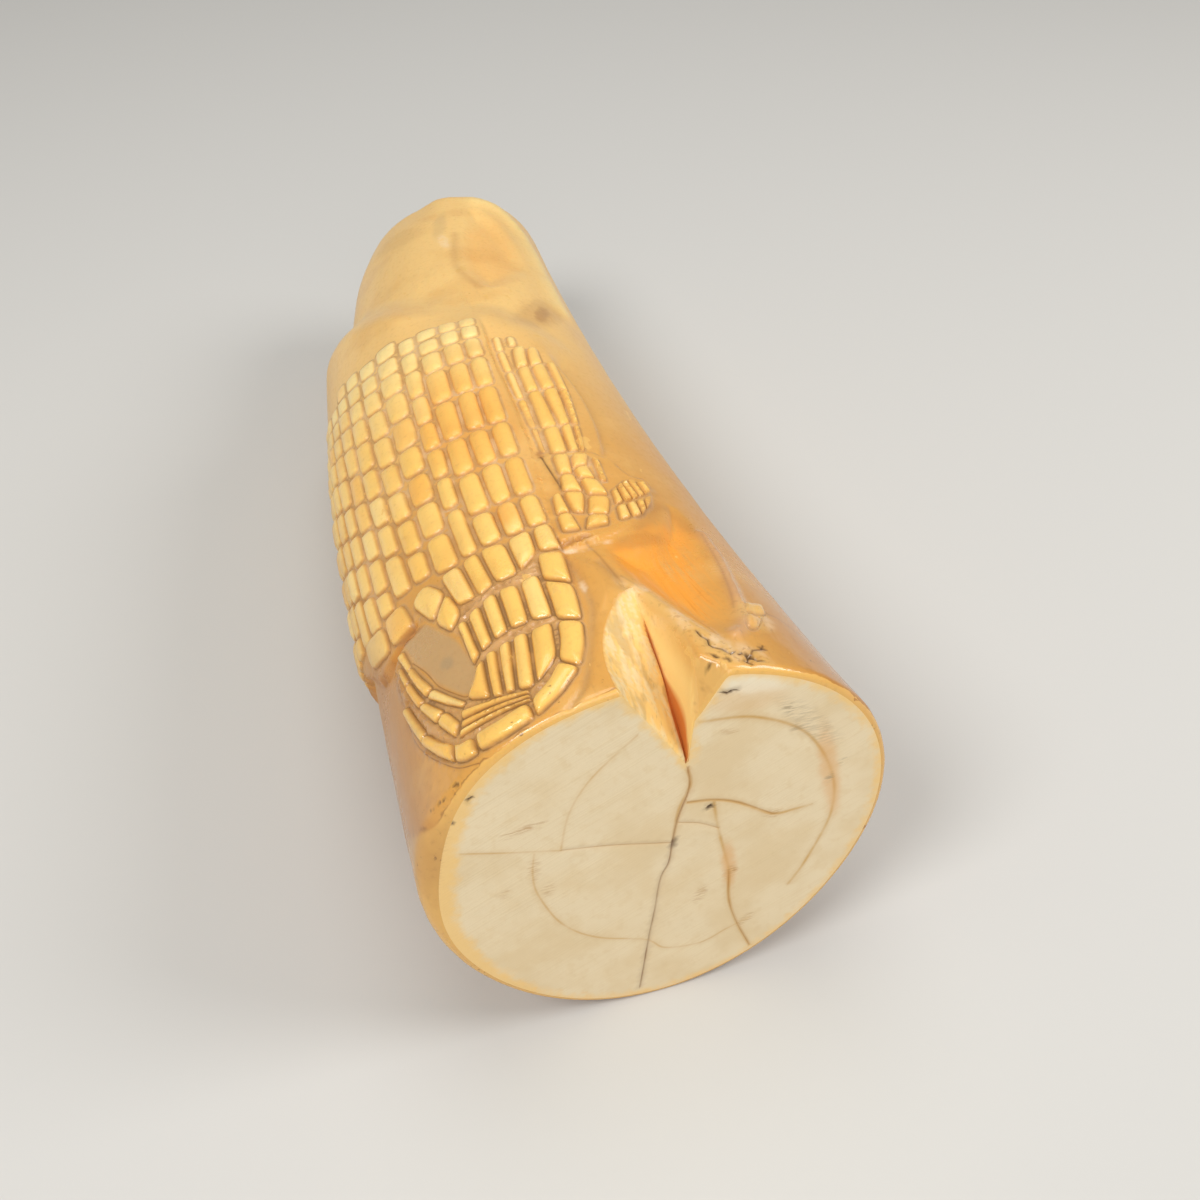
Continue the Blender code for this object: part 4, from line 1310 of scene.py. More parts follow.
@dataclass
class TuskSkin(Surface):
    """The whole outer skin from rim to rim, with its carving, notch, cracks and marks."""

    body: TuskBody
    notch: Notch
    relief: Relief
    areas: CarvedAreas
    pattern: ScalePattern
    start: Vector
    marks: Marks = Marks(flat, SKIN_LINES, SKIN_PATCHES)
    zones: tuple[Zone, ...] = ZONES
    plain_spacing: float = 1.9
    border_spacing: float = 1.2
    rim_rows: tuple[float, ...] = (-0.35, 0.0, 0.4, 0.8, 1.25)
    side_start: float = 2.6
    side_rows: int = 90
    tip_rows: int = 7
    ring_step: float = 0.45
    ring_depths: tuple[float, ...] = (0.0, 0.14, 0.42)
    clear_share: float = 0.58
    weld_distance: float = 2e-6

    def __post_init__(self) -> None:
        """Lay out the scales once."""
        pattern = self.pattern
        self.scales = pattern.hide() + pattern.ladders(PAD_LADDERS + LIMB_LADDERS)

    def spacing(self, angle: float, along: float) -> float:
        """Return the spacing of free points at a chart place."""
        return next((zone.spacing for zone in self.zones if zone.holds(angle, along)), self.plain_spacing)

    def border(self, layout: Layout) -> None:
        """Add the chart's border and the rows that round its two ends over."""
        body = self.body
        near, far = -body.rim_border, body.length + body.tip_border
        stops = [SEAM]
        while stops[-1] < SEAM + 360.0:
            step = min(self.spacing(stops[-1] + 1.0, along) for along in (0.0, body.length))
            stops.append(stops[-1] + math.degrees(min(step, self.border_spacing) / CHART_RADIUS))
        stretch = 360.0 / (stops[-1] - SEAM)
        angles = [SEAM + (stop - SEAM) * stretch for stop in stops]
        tip_start = body.length - body.tip_round
        side = [mix(self.side_start, tip_start, row / self.side_rows) for row in range(self.side_rows + 1)]
        tip = [mix(tip_start, far, row / self.tip_rows) for row in range(1, self.tip_rows)]
        rows = [*self.rim_rows, *side, *tip]
        left, right = flat(angles[0], 0.0).x, flat(angles[-1], 0.0).x
        layout.line([flat(angle, near) for angle in angles]
                    + [Vector((right, row)) for row in rows]
                    + [flat(angle, far) for angle in reversed(angles)]
                    + [Vector((left, row)) for row in reversed(rows)], closed=True)
        for row in (*self.rim_rows, *tip):
            layout.line([flat(angle, row) for angle in angles[1:-1]])

    def chart(self) -> bpy.types.Mesh:
        """Lay out the chart: its border, every scale's rings, the notch, the marks and free points."""
        layout = Layout()
        self.border(layout)
        for scale in self.scales:
            for depth in self.ring_depths:
                if depth < 0.3 * scale.width():
                    layout.line(scale.ring(depth, self.ring_step), closed=True)
        for line in self.notch.outline(self.body):
            layout.line([flat(*point) for point in line])
        low = -self.body.rim_border + 0.12
        self.marks.draw(layout, lambda point: point.y > low)
        layout.scatter(self.free_points())
        return layout.mesh("tusk_chart", turned=True)

    def free_points(self) -> Iterable[tuple[Vector, float]]:
        """Return the free points, each with the gap that it keeps from every line."""
        for number, zone in enumerate(self.zones):
            finer = self.zones[:number]
            low = flat(zone.right, zone.near + 0.15)
            high = flat(zone.left, min(zone.far, self.body.length + self.body.tip_border - 0.2))
            for point in hex_grid((low.x + 0.2, low.y + 0.2), (high.x - 0.3, high.y), zone.spacing):
                angle, along = unflat(point)
                if point.x < high.x - 0.2 and not any(other.holds(angle, along) for other in finer):
                    yield point, self.clear_share * zone.spacing

    def guides(self) -> dict[str, bpy.types.Object]:
        """Make the guide objects that the tree measures the chart against."""
        numbers = {name: [getattr(scale, name) for scale in self.scales] for name in ("rise", "tint", "lean")}
        numbers["half"] = [0.4 * scale.width() for scale in self.scales]
        numbers["middle_along"] = [sum(point[1] for point in scale.outline) / len(scale.outline)
                                   for scale in self.scales]
        rings = [scale.ring(0.0, 0.6) for scale in self.scales]
        guides = {"scales": make_guide("scales", rings, True, numbers)}
        for name, outline in {"hide": self.areas.hide(), **OUTLINES}.items():
            path = curved([flat(*point) for point in outline], 0.8)
            guides[name] = make_guide(name + "_outline", [path], True)
        return {**guides, **self.marks.guides()}

    def build(self, material: bpy.types.Material) -> bpy.types.Mesh:
        """Return the skin as a plain mesh with its numbers for the finish."""
        return self.shaped("tusk_skin", self.chart(), self.guides(), material)

    def ground(self, tree: GeometryTree, size: SimpleNamespace, guides: Guides,
               here: ChartPlace) -> Value:
        """Return the carved ground's height, and store the scoop and the painted shade at the foot of the
        step.
        """
        step, fall = tree.step, tree.fall
        angle, along = here.angle, here.along
        base = tree.high(size.hide_start + size.hide_gain * along - size.cell_rise, 0.0)
        far = step(along, 80.0, 86.0) * step(angle, 88.0, 92.0)
        run = tree.blend(size.edge_run, size.flank_run, step(angle, 185.0, 200.0))
        run = tree.blend(run, size.far_run, far)
        depths = {name: tree.depth(guides[name], here.spot)
                  for name in ("hide", "limb", "foot", "lobe", "scoop", "flute")}
        outside = depths["hide"] * -1.0
        fade = step(along, 74.0, 92.0) * fall(angle, 94.0, 122.0)
        height = base * fall(outside, 0.0, run) * (1.0 - fade * size.far_fade)
        limb_run = tree.blend(size.limb_run, size.limb_far_run, step(along, 66.0, 78.0))
        limb = size.limb_share * base * fall(depths["limb"] * -1.0, 0.0, limb_run)
        foot = size.foot_share * base * fall(depths["foot"] * -1.0, 0.0, size.foot_run)
        limb = tree.high(limb, foot)
        # Painted shade: a band just outside the raised hide's edge, at the foot of its step.
        foot_of_step = tree.band(outside, 0.15, 0.5, 0.5) * (1.0 - far) * step(base, 0.1, 0.8)
        tree.store("foot_of_step", foot_of_step * fall(limb, 0.02, 0.3))
        height = tree.high(height, limb)
        height = tree.high(height, size.lobe_rise * step(depths["lobe"], 0.0, size.lobe_run))
        scoop = step(depths["scoop"], 0.0, size.scoop_run)
        flute = step(depths["flute"], 0.0, size.flute_run)
        tree.store("scoop", scoop)
        return height - size.scoop_depth * scoop - size.flute_depth * flute

    @staticmethod
    def rounding(tree: GeometryTree, body: SimpleNamespace, here: ChartPlace) -> tuple[Value, Value]:
        """Return the distance along the axis, and how far the rounded ends draw the skin in."""
        y = here.along
        rim = (body.rim_round + body.rim_worn * tree.bump(here.angle, body.worn_angle, body.worn_width)
               + body.corner_worn * tree.bump(here.angle, body.corner_angle, body.corner_width))
        over = tree.held((y + body.rim_border) / (rim + body.rim_border)) * (math.pi / 2.0)
        tip_start = body.length - body.tip_round
        tip = tree.held((y - tip_start) / (body.tip_round + body.tip_border)) * (math.pi / 2.0)
        straight = tree.held(y - rim, tip_start - rim)
        along = rim * (1.0 - tree.cos(over)) + straight + body.tip_round * tree.sin(tip)
        return along, rim * (1.0 - tree.sin(over)) + body.tip_round * (1.0 - tree.cos(tip))

    def carved(self, tree: GeometryTree, size: SimpleNamespace, guides: Guides,
               here: ChartPlace) -> Value:
        """Return how far the carving stands above the plain body, and store its masks."""
        step, fall = tree.step, tree.fall
        inside = tree.depth(guides["scales"], here.spot)
        rise, tint, lean, middle, half = (
            tree.sampled(guides["scales"], name, here.spot)
            for name in ("rise", "tint", "lean", "middle_along", "half"))
        shoulder = tree.blend(size.shoulder, size.hide_shoulder, step(here.along, 26.0, 50.0))
        down = 1.0 - tree.held(inside / tree.low(half, shoulder))
        pillow = tree.maths("SQRT", tree.high(1.0 - down * down, 0.0))
        on_scale = step(inside, 0.0, 0.3)
        relief = rise * pillow + size.dome * step(inside, 0.0, tree.high(half, 0.5) * 1.6)
        relief = relief + on_scale * lean * size.lean
        relief = relief + on_scale * size.lean * (here.along - middle) * 0.5
        tooling = (tree.noise(here.seamless, size.tooling_scale, 3.0) - 0.5) * size.tooling * 4.0
        small = (tree.noise(here.seamless, size.small_scale, 2.0) - 0.5) * size.tooling
        oval = tree.depth(guides["oval"], here.spot)
        between = step(inside * -1.0, 0.12, 0.35)
        between = between * step(tree.depth(guides["hide"], here.spot), 0.1, 0.6)
        between = between * step(here.angle, 96.0, 100.0) * fall(here.along, 24.0, 30.0)
        between = between * fall(oval, -0.6, -0.1)
        crumbs = tree.noise(tree.shifted(here.ring, 51.0), 1.5, 2.0)
        small = small + between * step(crumbs, 0.42, 0.58) * size.rubble
        tree.store("rubble", between)
        tree.store("inside", inside)
        tree.store("tint", tint * on_scale)
        tree.store("oval", step(oval, -0.15, 0.45) * fall(inside, -0.1, 0.15))
        fade = step(here.along, -0.4, 0.5)
        return self.ground(tree, size, guides, here) + (relief + small) * fade + tooling * fade

    @staticmethod
    def broken(tree: GeometryTree, body: SimpleNamespace, notch: SimpleNamespace, size: SimpleNamespace,
               here: ChartPlace, section: tuple[Value, Value, Value]) -> Value:
        """Break the notch and the chipped corner out of the skin, and store their masks.

        Args:
            tree: the tree to write into.
            body: the body's sizes.
            notch: the notch's sizes.
            size: the relief's sizes.
            here: the chart point.
            section: the skin's place across, along and above the axis before.

        Returns:
            The skin's rise above the axis after.
        """
        step, fall = tree.step, tree.fall
        across, along, skin = section
        crest = TuskBody.reach(tree, body, math.radians(90.0), along)
        slope, wall = Notch.surface(tree, notch, across, along, crest)
        depth = skin - tree.high(slope, wall)
        grain = tree.stretched(tree.join(across, along, 0.0), 1.8, 0.3, 1.0, 3.0)
        fibres = tree.noise(grain, 1.0, 4.0, 0.7)
        rough = (fibres - 0.42) * size.slope_rough * step(depth, 0.1, 1.6)
        rough = rough * step(slope - wall, 0.3, 2.5)
        on_wall = step(wall - slope, -0.4, 1.5)
        off_middle = tree.maths("ABSOLUTE", across - notch.floor_across) / Notch.slit(tree, notch, along)
        slit = (fall(off_middle, 0.8, 1.3) * step(depth, 0.1, 0.6)
                * fall(along, notch.slit_run - 2.0, notch.slit_run))
        broken = tree.high(slope, wall) + rough - slit * notch.slit_depth
        off_shoulder = across - notch.shoulder_across
        shoulder = (notch.shoulder_rise + tree.high(off_shoulder, 0.0) * notch.shoulder_right
                    + tree.high(off_shoulder * -1.0, 0.0) * notch.shoulder_left
                    + along * notch.shoulder_along)
        chip = (tree.noise(tree.shifted(here.spot, 9.0), 0.9, 3.0) - 0.5) * notch.chips
        height = tree.maths("SMOOTH_MIN", skin, broken, tree.blend(0.1, 2.6, on_wall))
        height = tree.maths("SMOOTH_MIN", height, shoulder + chip, 0.8)
        tree.store("chipped", step(skin - height, 0.02, 0.5) * step(broken - height, -0.1, 0.6)
                   * step(across, 1.5, 3.0))
        tree.store("broken", step(depth, 0.0, tree.blend(0.12, 4.0, on_wall)))
        tree.store("wall", on_wall * step(depth, 0.0, 0.6))
        tree.store("slit", slit)
        tree.store("fibres", fibres)
        return height

    def write(self, tree: GeometryTree, guides: Guides) -> None:
        """Write the tree that carves the chart and wraps it round the body."""
        body, notch, size = (tree.sizes(part) for part in (self.body, self.notch, self.relief))
        shift = tree.size("Start of the axis", self.start)
        x, y, _ = tree.split(tree.take(tree.node("GeometryNodeInputPosition")))
        turn = x / CHART_RADIUS
        ring = tree.join(tree.cos(turn) * CHART_RADIUS, y, tree.sin(turn) * CHART_RADIUS)
        here = ChartPlace(tree.join(x, y, 0.0), turn * math.degrees(1.0), y, ring,
                          tree.vector_maths("MULTIPLY", ring, (1.0, 0.45, 1.0)))
        along, drawn_in = self.rounding(tree, body, here)
        lift = self.carved(tree, size, guides, here)
        lift = self.marks.cut(tree, guides, here.spot, ring, lift)
        reach = (TuskBody.reach(tree, body, turn, along) + lift
                 - TuskBody.tip_wear(tree, body, here.angle, along) - drawn_in)
        drift = (tree.noise(tree.shifted(here.seamless, 7.0), size.warp_scale) - 0.5) * size.warp
        warped = turn + drift * tree.band(y, 12.0, 130.0, 10.0) / CHART_RADIUS
        across, height = reach * tree.cos(warped), reach * tree.sin(warped)
        height = self.broken(tree, body, notch, size, here, (across, along, height))
        tree.store("along", y)
        tree.store("from_crest", tree.maths("ABSOLUTE", here.angle - 90.0))
        tree.store("section_across", across)
        tree.store("section_rise", height)
        tree.move(TuskBody.placed(tree, body, across, along, height, shift))
        tree.change("GeometryNodeMergeByDistance", {"Distance": self.weld_distance})


# ---- the sawn ends

FACE_LINES = drawn_lines({
    LineKind.SPLIT: (
        ((6.5, 21.9), (6.9, 21.6), (7.3, 21.9), (7.9, 21.8)),
        ((6.9, 21.7), (7.4, 21.7)),
        ((5.7, 23.3), (6.1, 23.9), (6.3, 24.6)),
        ((9.6, 24.2), (10.4, 24.1), (11.2, 23.7)),
        ((-20.9, 14.6), (-20.4, 15.1), (-19.8, 15.5)),
        ((-22.2, 12.5), (-21.8, 13.1))),
    LineKind.CRACK: (
        ((2.9, 12), (3.1, 8.8), (1.9, 4.6), (1.3, 1), (0.9, -2.6), (-0.1, -5.2), (-0.8, -10.5),
         (-1.6, -16), (-2.7, -25)),),
    LineKind.RING: (
        ((2.9, 11.6), (3.2, 9.4), (1.9, 5.8), (1.3, 1)),
        ((2.9, 6.7), (5.8, 6.1), (8.8, 4.6), (12.9, 1.3), (15.8, 1.1), (17.7, 1.2)),
        ((5.9, 5.9), (6.5, 1.5), (7.7, -4.6), (8.1, -7), (8.3, -12.2), (9.4, -17), (11.4, -22.7)),
        ((3.5, 18.6), (10, 17.4), (16, 13.2), (19.6, 6), (20.2, -1), (17.8, -8.4), (15.8, -12.2))),
    LineKind.HAIR: (
        ((1.3, 0.7), (-5.6, 2.8), (-11.2, 4.1)),
        ((2.9, 6.7), (5.8, 6.1), (8.8, 4.6), (12.9, 1.3)),
        ((1.9, 3.8), (4.4, 2.8), (6.6, 1.2)),
        ((8.1, -7), (8.3, -12.2), (9.4, -17), (11.4, -22.7))),
    LineKind.FAINT: (
        ((-11.2, 4.1), (-16, 5.6), (-21.8, 7.6)),
        ((-14.1, 4.7), (-14.5, 1), (-14, -2.7), (-11.7, -8.5), (-7.9, -12.6), (-2, -15.6), (0.5, -18.3),
         (4.9, -19.2), (8.1, -17.9), (10.6, -17)),
        ((-11.2, 4.4), (-10.1, 9.6), (-8.1, 13.4), (-5.2, 16.5), (-2.6, 18.8))),
})

FACE_PATCHES = patches({
    MarkKind.STAIN: (((-15.1, 8.8), 2.6, 0.5, 8, 0.9), ((-14.3, 1.9), 1.8, 0.7, 85, 0.7),
        ((4.7, -9.8), 1.6, 0.8, 70, 0.6), ((8.3, -7), 1.4, 0.7, 80, 0.6), ((10.6, -17), 1.5, 0.8, 40, 0.7),
        ((-12.9, -1.7), 1.2, 0.7, 80, 0.6), ((-17.7, -0.7), 1, 0.6, 60, 0.5), ((12.9, 1.3), 1, 0.7, 0, 1),
        ((7.4, 16.1), 1.3, 0.4, -10, 0.5), ((8.6, -7), 0.7, 0.5, 0, 1)),
    MarkKind.HONEY: (((19.4, 6), 8, 1.2, 100, 0.8), ((9, 20.4), 5, 2.2, -12, 0.35),
        ((8.1, -5.6), 4.2, 0.9, 95, 0.9)),
    # This pale patch is a painted highlight on the face's top edge.
    MarkKind.PALE: (((9.5, 22.2), 4.2, 1.3, -18, 0.5),),
    MarkKind.GREY: (((16.4, 14.6), 6, 1.6, -50, 0.4), ((13.8, 17.4), 1.2, 0.6, -35, 0.9),
        ((15.2, 14), 1.1, 0.6, -20, 0.6), ((19.5, 4.9), 0.8, 0.5, 70, 0.9),
        ((20.9, 7.1), 0.7, 0.4, 20, 0.7), ((5.5, 5.1), 0.8, 0.7, 0, 0.7)),
    MarkKind.GRIME: (((1.4, 0.6), 1, 0.36, 75, 0.65, 0.1), ((5.5, 5.1), 0.35, 0.35, 0, 1, 0.3)),
})


def in_section(across: float, rise: float) -> Vector:
    """Return a point of the section."""
    return Vector((across, rise))


@dataclass
class SawnEnd(Surface):
    """A flat sawn end, laid out between the skin's border points and welded to them."""

    name: str
    body: TuskBody
    along: float
    start: Vector
    marks: Marks
    spacing: float = 0.55
    clear_share: float = 0.55
    line_inset: float = 0.5
    hollow: float = 0.25

    def chart(self, loop: list[Vector], turned: bool) -> bpy.types.Mesh:
        """Return the flat mesh inside a border loop of section points."""
        layout = Layout()
        layout.line(loop, closed=True)
        inner = inset(loop, self.line_inset)
        self.marks.draw(layout, lambda point: inside_loop(point, inner))
        reach = max(point.length for point in loop)
        grid = hex_grid((-reach, -reach), (reach, reach), self.spacing)
        layout.scatter((point, self.clear_share * self.spacing) for point in grid
                       if inside_loop(point, loop))
        return layout.mesh(self.name + "_chart", turned)

    def build(self, skin: bpy.types.Mesh, loop: list[int], material: bpy.types.Material,
              turned: bool) -> bpy.types.Mesh:
        """Return the end as a plain mesh whose border lies on the skin's border.

        Args:
            skin: the finished skin, with its section coordinates stored.
            loop: the skin's border points in order.
            material: the end's finish.
            turned: True for the end that faces along the tusk.

        Returns:
            The end.
        """
        across, rise = (read_numbers(skin, "section_" + name) for name in ("across", "rise"))
        points = [in_section(float(across[index]), float(rise[index])) for index in loop]
        guides = self.marks.guides()
        guides["border"] = make_guide("border_line", [points + points[:1]], False)
        return self.shaped(self.name, self.chart(points, turned), guides, material)

    def write(self, tree: GeometryTree, guides: Guides) -> None:
        """Write the tree that cracks and marks the flat face and sets it on the tusk's end."""
        body = tree.sizes(self.body)
        shift = tree.size("Start of the axis", self.start)
        stands = tree.size("Distance of the face", self.along)
        x, z, _ = tree.split(tree.take(tree.node("GeometryNodeInputPosition")))
        place = tree.join(x, z, 0.0)
        edge = tree.distance(guides["border"], place)
        height = (0.5 - tree.noise(place, 0.12, 2.0)) * self.hollow * tree.step(edge, 0.0, 3.0)
        height = self.marks.cut(tree, guides, place, place, height, tree.step(edge, 0.0, 0.5))
        tree.store("edge", edge)
        tree.store("section_across", x)
        tree.store("section_rise", z)
        outwards = 1.0 if self.along > 1.0 else -1.0
        tree.move(TuskBody.placed(tree, body, x, stands + height * outwards, z, shift))


def inside_loop(point: Vector, loop: list[Vector]) -> bool:
    """Say whether a point is inside a closed loop."""
    inside = False
    for start, end in zip(loop, loop[1:] + loop[:1]):
        if (start.y > point.y) != (end.y > point.y):
            crossing = start.x + (point.y - start.y) / (end.y - start.y) * (end.x - start.x)
            inside ^= point.x < crossing
    return inside


FACE_MARKS = Marks(in_section, FACE_LINES, FACE_PATCHES, wobble_scale=0.8, cover_least=0.55,
                   cover_gain=0.9, cover_scale=0.5, side_gap=1.2)


# ---- finishes

Layer = tuple["Value | Colour", Value]


class ShaderTree(Tree):
    """Writes a material."""

    def __init__(self, name: str) -> None:
        """Start a material with one principled shader."""
        self.material = bpy.data.materials.new(name)
        self.material.use_nodes = True
        super().__init__(self.material.node_tree)
        self.shader = self.group.nodes["Principled BSDF"]
        self.place = Value(self, self.node("ShaderNodeTexCoord").outputs["Object"])

    def stored(self, name: str) -> Value:
        """Return a number stored on the mesh."""
        return Value(self, self.node("ShaderNodeAttribute", attribute_name=name).outputs["Fac"])

    def colour(self, first: "Value | Colour", second: "Value | Colour", share: Value) -> Value:
        """Return the colour a share of the way from first to second."""
        node = self.node("ShaderNodeMix", data_type="RGBA")
        self.feed(node.inputs[0], share)
        for socket, value in ((node.inputs[6], first), (node.inputs[7], second)):
            self.feed(socket, value if isinstance(value, Value) else (*value, 1.0))
        return self.take(node, 2)

    def painted(self, colour: Value, layers: Iterable[Layer]) -> Value:
        """Return a colour with layers laid over it in turn."""
        for over, cover in layers:
            colour = self.colour(colour, over, cover)
        return colour

    def finish(self, colour: Value, roughness: Value, height: Value, depth: float) -> bpy.types.Material:
        """Link the colour, roughness and fine bump to the shader and return the material."""
        bump = self.node("ShaderNodeBump")
        bump.inputs["Distance"].default_value = depth
        self.feed(bump.inputs["Height"], height)
        self.feed(self.shader.inputs["Base Color"], colour)
        self.feed(self.shader.inputs["Roughness"], roughness)
        self.feed(self.shader.inputs["Normal"], bump.outputs[0])
        return self.material


@dataclass(frozen=True)
class IvoryPatterns:
    """Where a point of the carved skin is, and the uneven values there."""

    along: Value
    angle: Value
    inside: Value
    on_scale: Value
    grain: Value
    cloud: Value
    blotch: Value
    fleck: Value


@dataclass(frozen=True)
class CarvedIvory:
    """Warm, polished, aged ivory with grooves darkened partly as dirt and partly as painted shade, and a raw
    broken slope.
    """

    near: Colour = srgb(218, 160, 80)
    far: Colour = srgb(246, 202, 126)
    top: Colour = srgb(248, 198, 104)
    top_far: Colour = srgb(254, 224, 150)
    groove: Colour = srgb(190, 146, 92)
    dust: Colour = srgb(216, 182, 138)
    dark: Colour = srgb(112, 78, 46)
    dirt: Colour = srgb(86, 60, 36)
    honey: Colour = srgb(244, 160, 54)
    orange: Colour = srgb(196, 118, 44)
    stain: Colour = srgb(152, 94, 52)
    pale: Colour = srgb(252, 228, 194)
    grey: Colour = srgb(160, 142, 112)
    oval: Colour = srgb(198, 160, 110)
    broken: Colour = srgb(244, 200, 118)
    broken_pale: Colour = srgb(236, 210, 156)
    broken_dull: Colour = srgb(206, 170, 108)
    wall: Colour = srgb(238, 204, 130)
    slit: Colour = srgb(204, 116, 44)
    mauve: Colour = srgb(206, 164, 128)
    chipped: Colour = srgb(226, 180, 106)
    worn: Colour = srgb(238, 190, 106)
    rubble: Colour = srgb(204, 160, 112)
    amber: Colour = srgb(178, 118, 46)
    brown: Colour = srgb(150, 102, 56)
    roughness: float = 0.36
    broken_roughness: float = 0.7
    grain_depth: float = 0.00006
    glow: float = 0.12
    glow_reach: float = 0.0012
    glow_colours: tuple[float, float, float] = (1.0, 0.6, 0.3)
    crest: tuple[float, float, float] = (70.0, 140.0, 45.0)
    low_right: tuple[float, float, float] = (-30.0, 40.0, 26.0)
    worn_rim: tuple[float, float, float] = (177.0, 215.0, 28.0)
    stained_rim: tuple[float, float, float] = (100.0, 160.0, 12.0)

    @staticmethod
    def patterns(tree: ShaderTree) -> IvoryPatterns:
        """Return the place and the uneven values that several layers share."""
        right_side = tree.step(tree.stored("section_across"), -0.01, 0.01) * 2.0 - 1.0
        inside, place = tree.stored("inside"), tree.place
        return IvoryPatterns(
            tree.stored("along"), 90.0 - right_side * tree.stored("from_crest"), inside,
            tree.step(inside, 0.02, 0.4),
            tree.noise(tree.stretched(place, 1000.0, 160.0, 1000.0), 0.8, 4.0, 0.6),
            tree.noise(place, 90.0, 3.0, 0.55),
            tree.noise(tree.stretched(place, 1.0, 0.6, 1.0, 5.0), 320.0, 3.0, 0.6),
            tree.noise(tree.shifted(place, 9.0), 1500.0, 2.0, 0.6))

    def aged(self, tree: ShaderTree, at: IvoryPatterns, near_end: Value) -> list[Layer]:
        """Return the layers of the scales' tops, the amber flanks and the coloured scoop."""
        step, stored, along, tint = tree.step, tree.stored, at.along, tree.stored("tint")
        paler = tree.high(step(along, 56.0, 84.0), step(at.angle, 128.0, 170.0) * 0.7)
        flank = 1.0 - tree.band(at.angle, *self.crest)
        low_right = tree.band(at.angle, *self.low_right) * tree.fall(along, 3.0, 26.0)
        streak = tree.stretched(tree.join(at.angle, along, 0.0), 1.0, 0.11, 1.0, 2.0)
        streak = tree.noise(streak, 0.9, 3.0, 0.6)
        scoop = stored("scoop")
        golden = tree.blend(0.3, 0.95, step(streak, 0.38, 0.58))
        golden = golden * tree.blend(0.35, 1.0, step(along, 5.0, 17.0))
        return [
            (tree.colour(self.top, self.top_far, paler), at.on_scale),
            (self.far, step(at.cloud, 0.5, 0.75) * 0.45),
            (self.near, step(at.cloud, 0.5, 0.3) * 0.3),
            (self.amber, flank * (0.58 - step(along, 0.0, 90.0) * 0.34)),
            (self.amber, low_right * 0.45),
            (self.brown, low_right * 0.22),
            (self.brown, step(at.grain, 0.54, 0.78) * (near_end * 0.16 + 0.05)),
            (tree.colour(self.rubble, self.brown, step(at.blotch, 0.48, 0.66) * 0.7),
             stored("rubble") * 0.7),
            (self.honey, step(tint, 0.5, 2.2) * at.on_scale * 0.4),
            (self.top_far, step(tint * -1.0, 0.3, 2.0) * at.on_scale * 0.5),
            (self.honey, scoop * golden),
            (self.orange, scoop * step(streak, 0.55, 0.7) * 0.5),
            (self.honey, stored("honey") * 0.7),
        ]

    def dirty(self, tree: ShaderTree, at: IvoryPatterns, groove: Value) -> list[Layer]:
        """Return the darker grooves and seams, partly dirt and partly painted shade, the painted shade at the
        foot of the raised hide, and the wear and stains near the rim.
        """
        step, fall, stored, along = tree.step, tree.fall, tree.stored, at.along
        dusty = step(along, 24.0, 44.0) * step(at.blotch, 0.42, 0.62)
        thin = tree.bump(at.inside, 0.0, 0.085)
        thin = thin * fall(along, 14.0, 40.0) * step(at.blotch, 0.3, 0.52)
        share = along / (0.3 + 7.8 * tree.band(at.angle, *self.worn_rim) + (at.blotch - 0.5) * 1.6)
        chips = tree.bump(share, 1.0, 0.22) * step(at.blotch, 0.44, 0.6)
        flecks = step(at.fleck, 0.64, 0.7) * step(at.blotch, 0.5, 0.6)
        return [
            # Grooves darker: partly grime and pale grout, partly painted shade.
            (tree.colour(self.groove, self.dust, dusty), groove * 0.7),
            # Seams darker in the same way: partly grime, partly painted shade.
            (self.groove, stored("seam") * 0.6),
            # Painted shade in orange at the foot of the raised hide's step.
            (self.orange, stored("foot_of_step") * 0.35),
            (self.oval, stored("oval") * 0.9),
            (self.dark, thin * 0.54),
            (self.worn, fall(share, 0.7, 1.1) * 0.65),
            (self.brown, chips * tree.band(at.angle, *self.stained_rim) * 0.7),
            (self.dark, flecks * fall(along, 2.0, 9.0) * 0.7),
        ]

    def marked(self, tree: ShaderTree, at: IvoryPatterns) -> list[Layer]:
        """Return the layers of the drawn lines and patches under the broken ivory."""
        step, stored = tree.step, tree.stored
        mottle = tree.painted(self.chipped, [
            (self.pale, step(at.blotch, 0.46, 0.7) * 0.6),
            (self.brown, step(at.fleck, 0.56, 0.66) * 0.35)])
        return [
            # Stains; the one at the scoop's top is painted shade. The shade lines are painted shade too.
            (self.stain, stored("stain") * 0.7),
            (self.stain, stored("shade") * 0.25),
            (self.brown, stored("faint") * 0.5),
            (self.mauve, stored("ridge") * 0.6),
            # Painted highlight: the raised roll along the tip's right rim, painted paler.
            (self.top_far, stored("roll") * 0.6),
            (self.brown, step(at.fleck, 0.5, 0.8) * 0.14),
            (self.grey, stored("grey") * 0.75),
            # Pale patches: pale marks, and painted highlights along the lobe's far edge.
            (self.pale, stored("pale") * step(at.blotch, 0.3, 0.55)),
            (mottle, stored("mottle") * 0.75),
        ]

    def snapped(self, tree: ShaderTree, at: IvoryPatterns, broken: Value) -> list[Layer]:
        """Return the layers of the raw broken slope, the chips and the cracks."""
        step, stored = tree.step, tree.stored
        chipped = stored("chipped")
        splinter = tree.noise(tree.stretched(tree.place, 2600.0, 700.0, 2600.0), 1.0, 3.0, 0.6)
        slope = tree.painted(self.broken, [
            (self.broken_pale, step(stored("fibres"), 0.42, 0.6)),
            (self.broken_dull, step(at.blotch, 0.48, 0.62) * 0.7),
            (self.brown, step(splinter, 0.56, 0.74) * 0.28),
            (self.wall, stored("wall")),
            (self.slit, stored("slit"))])
        return [
            (slope, broken),
            (self.chipped, chipped * 0.8),
            (self.brown, chipped * step(at.blotch, 0.52, 0.68) * 0.45),
            (self.dark, stored("crack") * step(at.blotch, 0.25, 0.5) * 0.9),
            (self.brown, stored("hair") * 0.8),
            (self.dirt, tree.high(stored("grime"), stored("split")) * 0.95),
        ]

